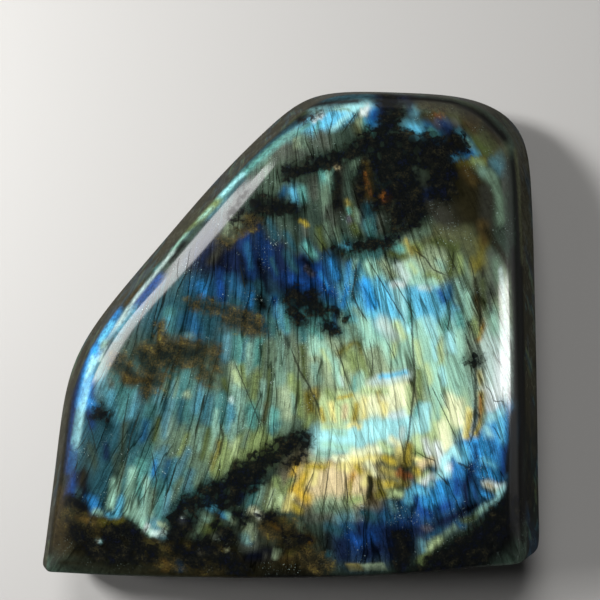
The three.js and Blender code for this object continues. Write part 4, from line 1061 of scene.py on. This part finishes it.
# The flash: strips of its two versions, made lighter and darker by the grain, with fractures. It is
# quieter in the broad corner, and its brightest parts are the smoothest.
def flashColour(make, at):
    share = (at.pick + (at.streak - 0.5) * 0.6).step(*polish["nextEnds"])
    flash = make.mix(share, make.attribute("flash", "Color"), make.attribute("flashNext", "Color"))
    cornerAcross = (at.u * 0.8 + at.v * 0.6).step(*polish["quietAcross"])
    quiet = 1 - cornerAcross * (at.v + at.u * 0.1).step(*polish["quietUp"]) * polish["quiet"]
    glow = make.parts(flash)[1].step(*polish["glowEnds"])
    onFace = 1 - at.rim
    tones = sum((getattr(at, name) - 0.5) * tone for name, tone in polish["tones"].items())
    faceGrit = (at.grit - 0.5) * (1 - glow) * polish["faceGrit"]
    faceTones = (1 - glow * polish["glowTones"]) * quiet * tones
    rimGain = at.rim * (at.grit - 0.5) * polish["rimGrit"]
    gain = polish["gain"] + rimGain + onFace * (polish["faceGain"] + faceGrit + faceTones)
    flash = make.times(flash, make.grey(gain))
    lines, shades = fractures(make, at)
    calm = onFace * quiet * (1 - glow * polish["glowCalm"])
    flash = make.glaze((shades * calm).least(polish["mostShade"]), flash, "shadeGreen")
    return make.glaze(lines * calm, flash, "lineGreen")


def crackLines(make, at, groups):
    given = polish["crack"]
    crack, wobble = 0.0, (at.wobble - 0.5) * given["wobble"]
    for k in range(groups):
        ratios, nears = (make.parts(make.attribute(f"{name}{k}")) for name in ("cracks", "near"))
        for ratio, near in zip(ratios, nears):
            crack = ((1 - abs(ratio + wobble).step(*given["ends"])) * near).most(crack)
    return crack


# How far a point lies in a dark mark: its depth, made ragged by noises, between the mark's ends.
def within(at, depth, kind):
    for name, strength in polish[kind]["ragged"].items():
        depth = depth + (getattr(at, name) - 0.5) * strength
    return depth.step(*polish[kind]["ends"])


# Brown clouds, and dark inclusions in a thin dark halo, with bits of the flash left open in them.
def darkMarks(make, at, flash):
    cloudTone = at.fine * 0.45 + at.mottle * 0.55 - at.brown.span(0.0, 3.0, 0.0, 0.1)
    cloudShare = within(at, at.brown, "cloud") * polish["cloud"]["share"]
    flash = make.mix(cloudShare, flash, make.ramp("cloud", cloudTone))
    flash = make.glaze(within(at, at.dark, "halo") * polish["halo"]["share"], flash, "lineGreen")
    closed = 1 - at.gem.step(*polish["gemEnds"]) * polish["gemOpen"]
    hole = within(at, at.dark, "hole") * closed
    holeColour = make.ramp("hole", at.mottle * 0.55 + at.fine * 0.45)
    return make.mix(hole * polish["hole"]["share"], flash, holeColour), hole


# Plain rock on the wall and the back, darker in the lower right corner, with a muted flash.
def rockColour(make, at):
    corner = (at.u * 0.8 - at.v * 0.6).step(*polish["cornerEnds"])
    rock = make.ramp("rock", at.rockTone * 0.4 + at.grit * 0.4 + at.streak * 0.2 - corner * 0.16)
    wide, long, high = polish["sheenScale"]
    sheen = make.noise(make.vector(at.across * wide, at.v * long, at.height * high), 1.0, 3.0, 0.6)
    share = sheen.step(0.5, 0.62) * at.place.span(*polish["sheenGrows"])
    return make.mix(share, rock, make.ramp("sheen", at.strip * 0.4 + at.streak * 0.6))


# Flash, cracks, pale scuffs and dark marks on the face, plain rock below, and a clear coat over
# all: thin on the middle of the face, in cracks and in inclusions, and thinnest on the wall.
def polishedFinish(groups):
    make = Finish(bpy.data.materials.new("labradorite"))
    at = stonePlaces(make)
    crack = crackLines(make, at, groups)
    flash = make.mix(crack * polish["crack"]["share"], flashColour(make, at), make.tint("darkCrack"))
    given = polish["scuff"]
    scuff = at.fleck.step(*given["ends"]) * at.fleckPatch.step(*given["patchEnds"]) * given["share"]
    flash = make.mix(scuff * (1 - at.rim), flash, make.tint("pearl"))
    flash, hole = darkMarks(make, at, flash)
    wall = at.place.step(*polish["wallEnds"])
    lost = polish["coatLost"]
    coat = (1 - crack * lost["crack"]) * (1 - wall * lost["wall"]) * (1 - hole * lost["hole"])
    shader = make.node("ShaderNodeBsdfPrincipled", {}, {
        "Base Color": make.mix(at.place.step(*polish["rockEnds"]), flash, rockColour(make, at)),
        "Metallic": (1 - wall) * (1 - hole) * polish["metal"],
        "Roughness": polish["roughness"], "Specular IOR Level": 0.0,
        "Coat Weight": coat * at.place.span(*polish["coatGrows"]),
        "Coat Roughness": polish["coatRoughness"], "Coat IOR": polish["coatIor"]})
    make.node("ShaderNodeOutputMaterial", {}, {"Surface": shader})
    return make.owner


mesh, points, place = stoneMesh()
groups = markStone(mesh, points, place)
stone = bpy.data.objects.new("stone_polished", mesh)
bpy.context.collection.objects.link(stone)
mesh.materials.append(polishedFinish(groups))
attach(stone, "root")
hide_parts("stone")
print("stone:", len(mesh.vertices), "vertices,", len(faceStrokes) + len(rimStrokes), "strokes")

# The floor, a little under the stone so that the two never share a plane.
board = {"reach": 4.0, "drop": 0.00005, "colour": (0.38, 0.372, 0.36, 1), "roughness": 0.8}
floorMesh = bpy.data.meshes.new("floor")
reach, drop = board["reach"], board["drop"]
floorCorners = [(x * reach, y * reach, -drop) for x, y in ((-1, -1), (1, -1), (1, 1), (-1, 1))]
floorMesh.from_pydata(floorCorners, [], [(0, 1, 2, 3)])
floor = bpy.data.objects.new("floor", floorMesh)
bpy.context.collection.objects.link(floor)
paleBoard = Finish(bpy.data.materials.new("pale_board"))
matt = paleBoard.node("ShaderNodeBsdfPrincipled", {}, {
    "Base Color": board["colour"], "Roughness": board["roughness"], "Specular IOR Level": 0.0})
paleBoard.node("ShaderNodeOutputMaterial", {}, {"Surface": matt})
floorMesh.materials.append(paleBoard.owner)
print("floor:", 2 * reach, "m wide")

# Where each light stands, seen from the stone, under what it lights. Those for the polish only
# mirror in it. A light with a spread is a sun, with its power in watts per square metre, and the
# others are flat panels, with theirs in watts.
lights = {
    "stone": {
        "key": {"azimuth": 165, "elevation": 34, "distance": 0.45, "size": (0.16, 0.16), "power": 3.2},
        "side": {"azimuth": 112, "elevation": 43, "distance": 0.45, "size": (0.26, 0.2), "power": 2.3},
        "fill": {"azimuth": -38, "elevation": 42, "distance": 0.4, "size": (0.26, 0.2), "power": 1.5},
    },
    "polish": {
        "window": {"azimuth": 152, "elevation": 16, "distance": 0.45, "size": (0.4, 0.23), "power": 2.6},
        "panel": {"azimuth": -4, "elevation": 15, "distance": 0.5, "size": (0.15, 0.26), "power": 1.5},
    },
    "floor": {
        "lamp": {"azimuth": 156, "elevation": 38, "distance": 0.36, "size": (0.07, 0.07), "power": 2.1},
        "west": {"azimuth": 163, "elevation": 35, "distance": 1.0, "spread": 10, "power": 1.0},
        "north": {"azimuth": 98, "elevation": 38, "distance": 1.0, "spread": 28, "power": 2.3},
    },
}
aim = np.array([0.0, 0.0, 0.03])  # a point near the top of the stone


def addLight(name, given, target, mirrors):
    sun = "spread" in given
    lamp = bpy.data.lights.new(name, "SUN" if sun else "AREA")
    lamp.energy = given["power"]
    if sun:
        lamp.angle = math.radians(given["spread"])
    else:
        lamp.shape = "RECTANGLE"
        lamp.size, lamp.size_y = given["size"]
    a, e = math.radians(given["azimuth"]), math.radians(given["elevation"])
    away = np.array([math.cos(a) * math.cos(e), math.sin(a) * math.cos(e), math.sin(e)])
    holder = bpy.data.objects.new(name, lamp)
    holder.location = aim + away * given["distance"]
    holder.rotation_euler = (math.pi / 2 - e, 0, a + math.pi / 2)
    holder.visible_diffuse, holder.visible_glossy = not mirrors, mirrors
    bpy.context.collection.objects.link(holder)
    holder.light_linking.receiver_collection = bpy.data.collections.new("lit_by_" + name)
    holder.light_linking.receiver_collection.objects.link(target)


for purpose, group in lights.items():
    for name, given in group.items():
        addLight(name, given, floor if purpose == "floor" else stone, purpose == "polish")
    print("lights for the", purpose + ":", ", ".join(group))

# The room is palest at the window's side and at the horizon, and dark overhead. Each row stretches
# two ends of a direction to two tones.
room = {
    "side": (0.1, 1.0, 0.04, 0.36), "overhead": (0.0, 0.9, 1.0, 0.08), "horizon": (0.0, 0.12, 0.4, 0.0),
}
walls = Finish(bpy.data.worlds.new("room"))
windowSide = math.radians(lights["polish"]["window"]["azimuth"])
east, north, up = walls.parts(walls.node("ShaderNodeTexCoord", {}, {}, "Generated"))
towards = east * math.cos(windowSide) + north * math.sin(windowSide)
tone = towards.span(*room["side"]) * up.span(*room["overhead"]) + up.span(*room["horizon"])
pale = walls.node("ShaderNodeBackground", {}, {"Color": walls.grey(tone)})
walls.node("ShaderNodeOutputWorld", {}, {"Surface": pale})
bpy.context.scene.world = walls.owner
bpy.context.scene.view_settings.view_transform = "Standard"

# The camera looks straight down on the layout's middle.
view = {"height": 0.256, "lens": 55.44, "sensor": 36}
cameraData = bpy.data.cameras.new("camera")
cameraData.lens, cameraData.sensor_width = view["lens"], view["sensor"]
camera = bpy.data.objects.new("camera", cameraData)
camera.location = (layout["middle"][0] / metre, layout["middle"][1] / metre, view["height"])
camera.rotation_euler = (0, 0, -math.radians(layout["turn"]))
bpy.context.collection.objects.link(camera)
bpy.context.scene.camera = camera
print("camera:", view["height"], "m over the floor")
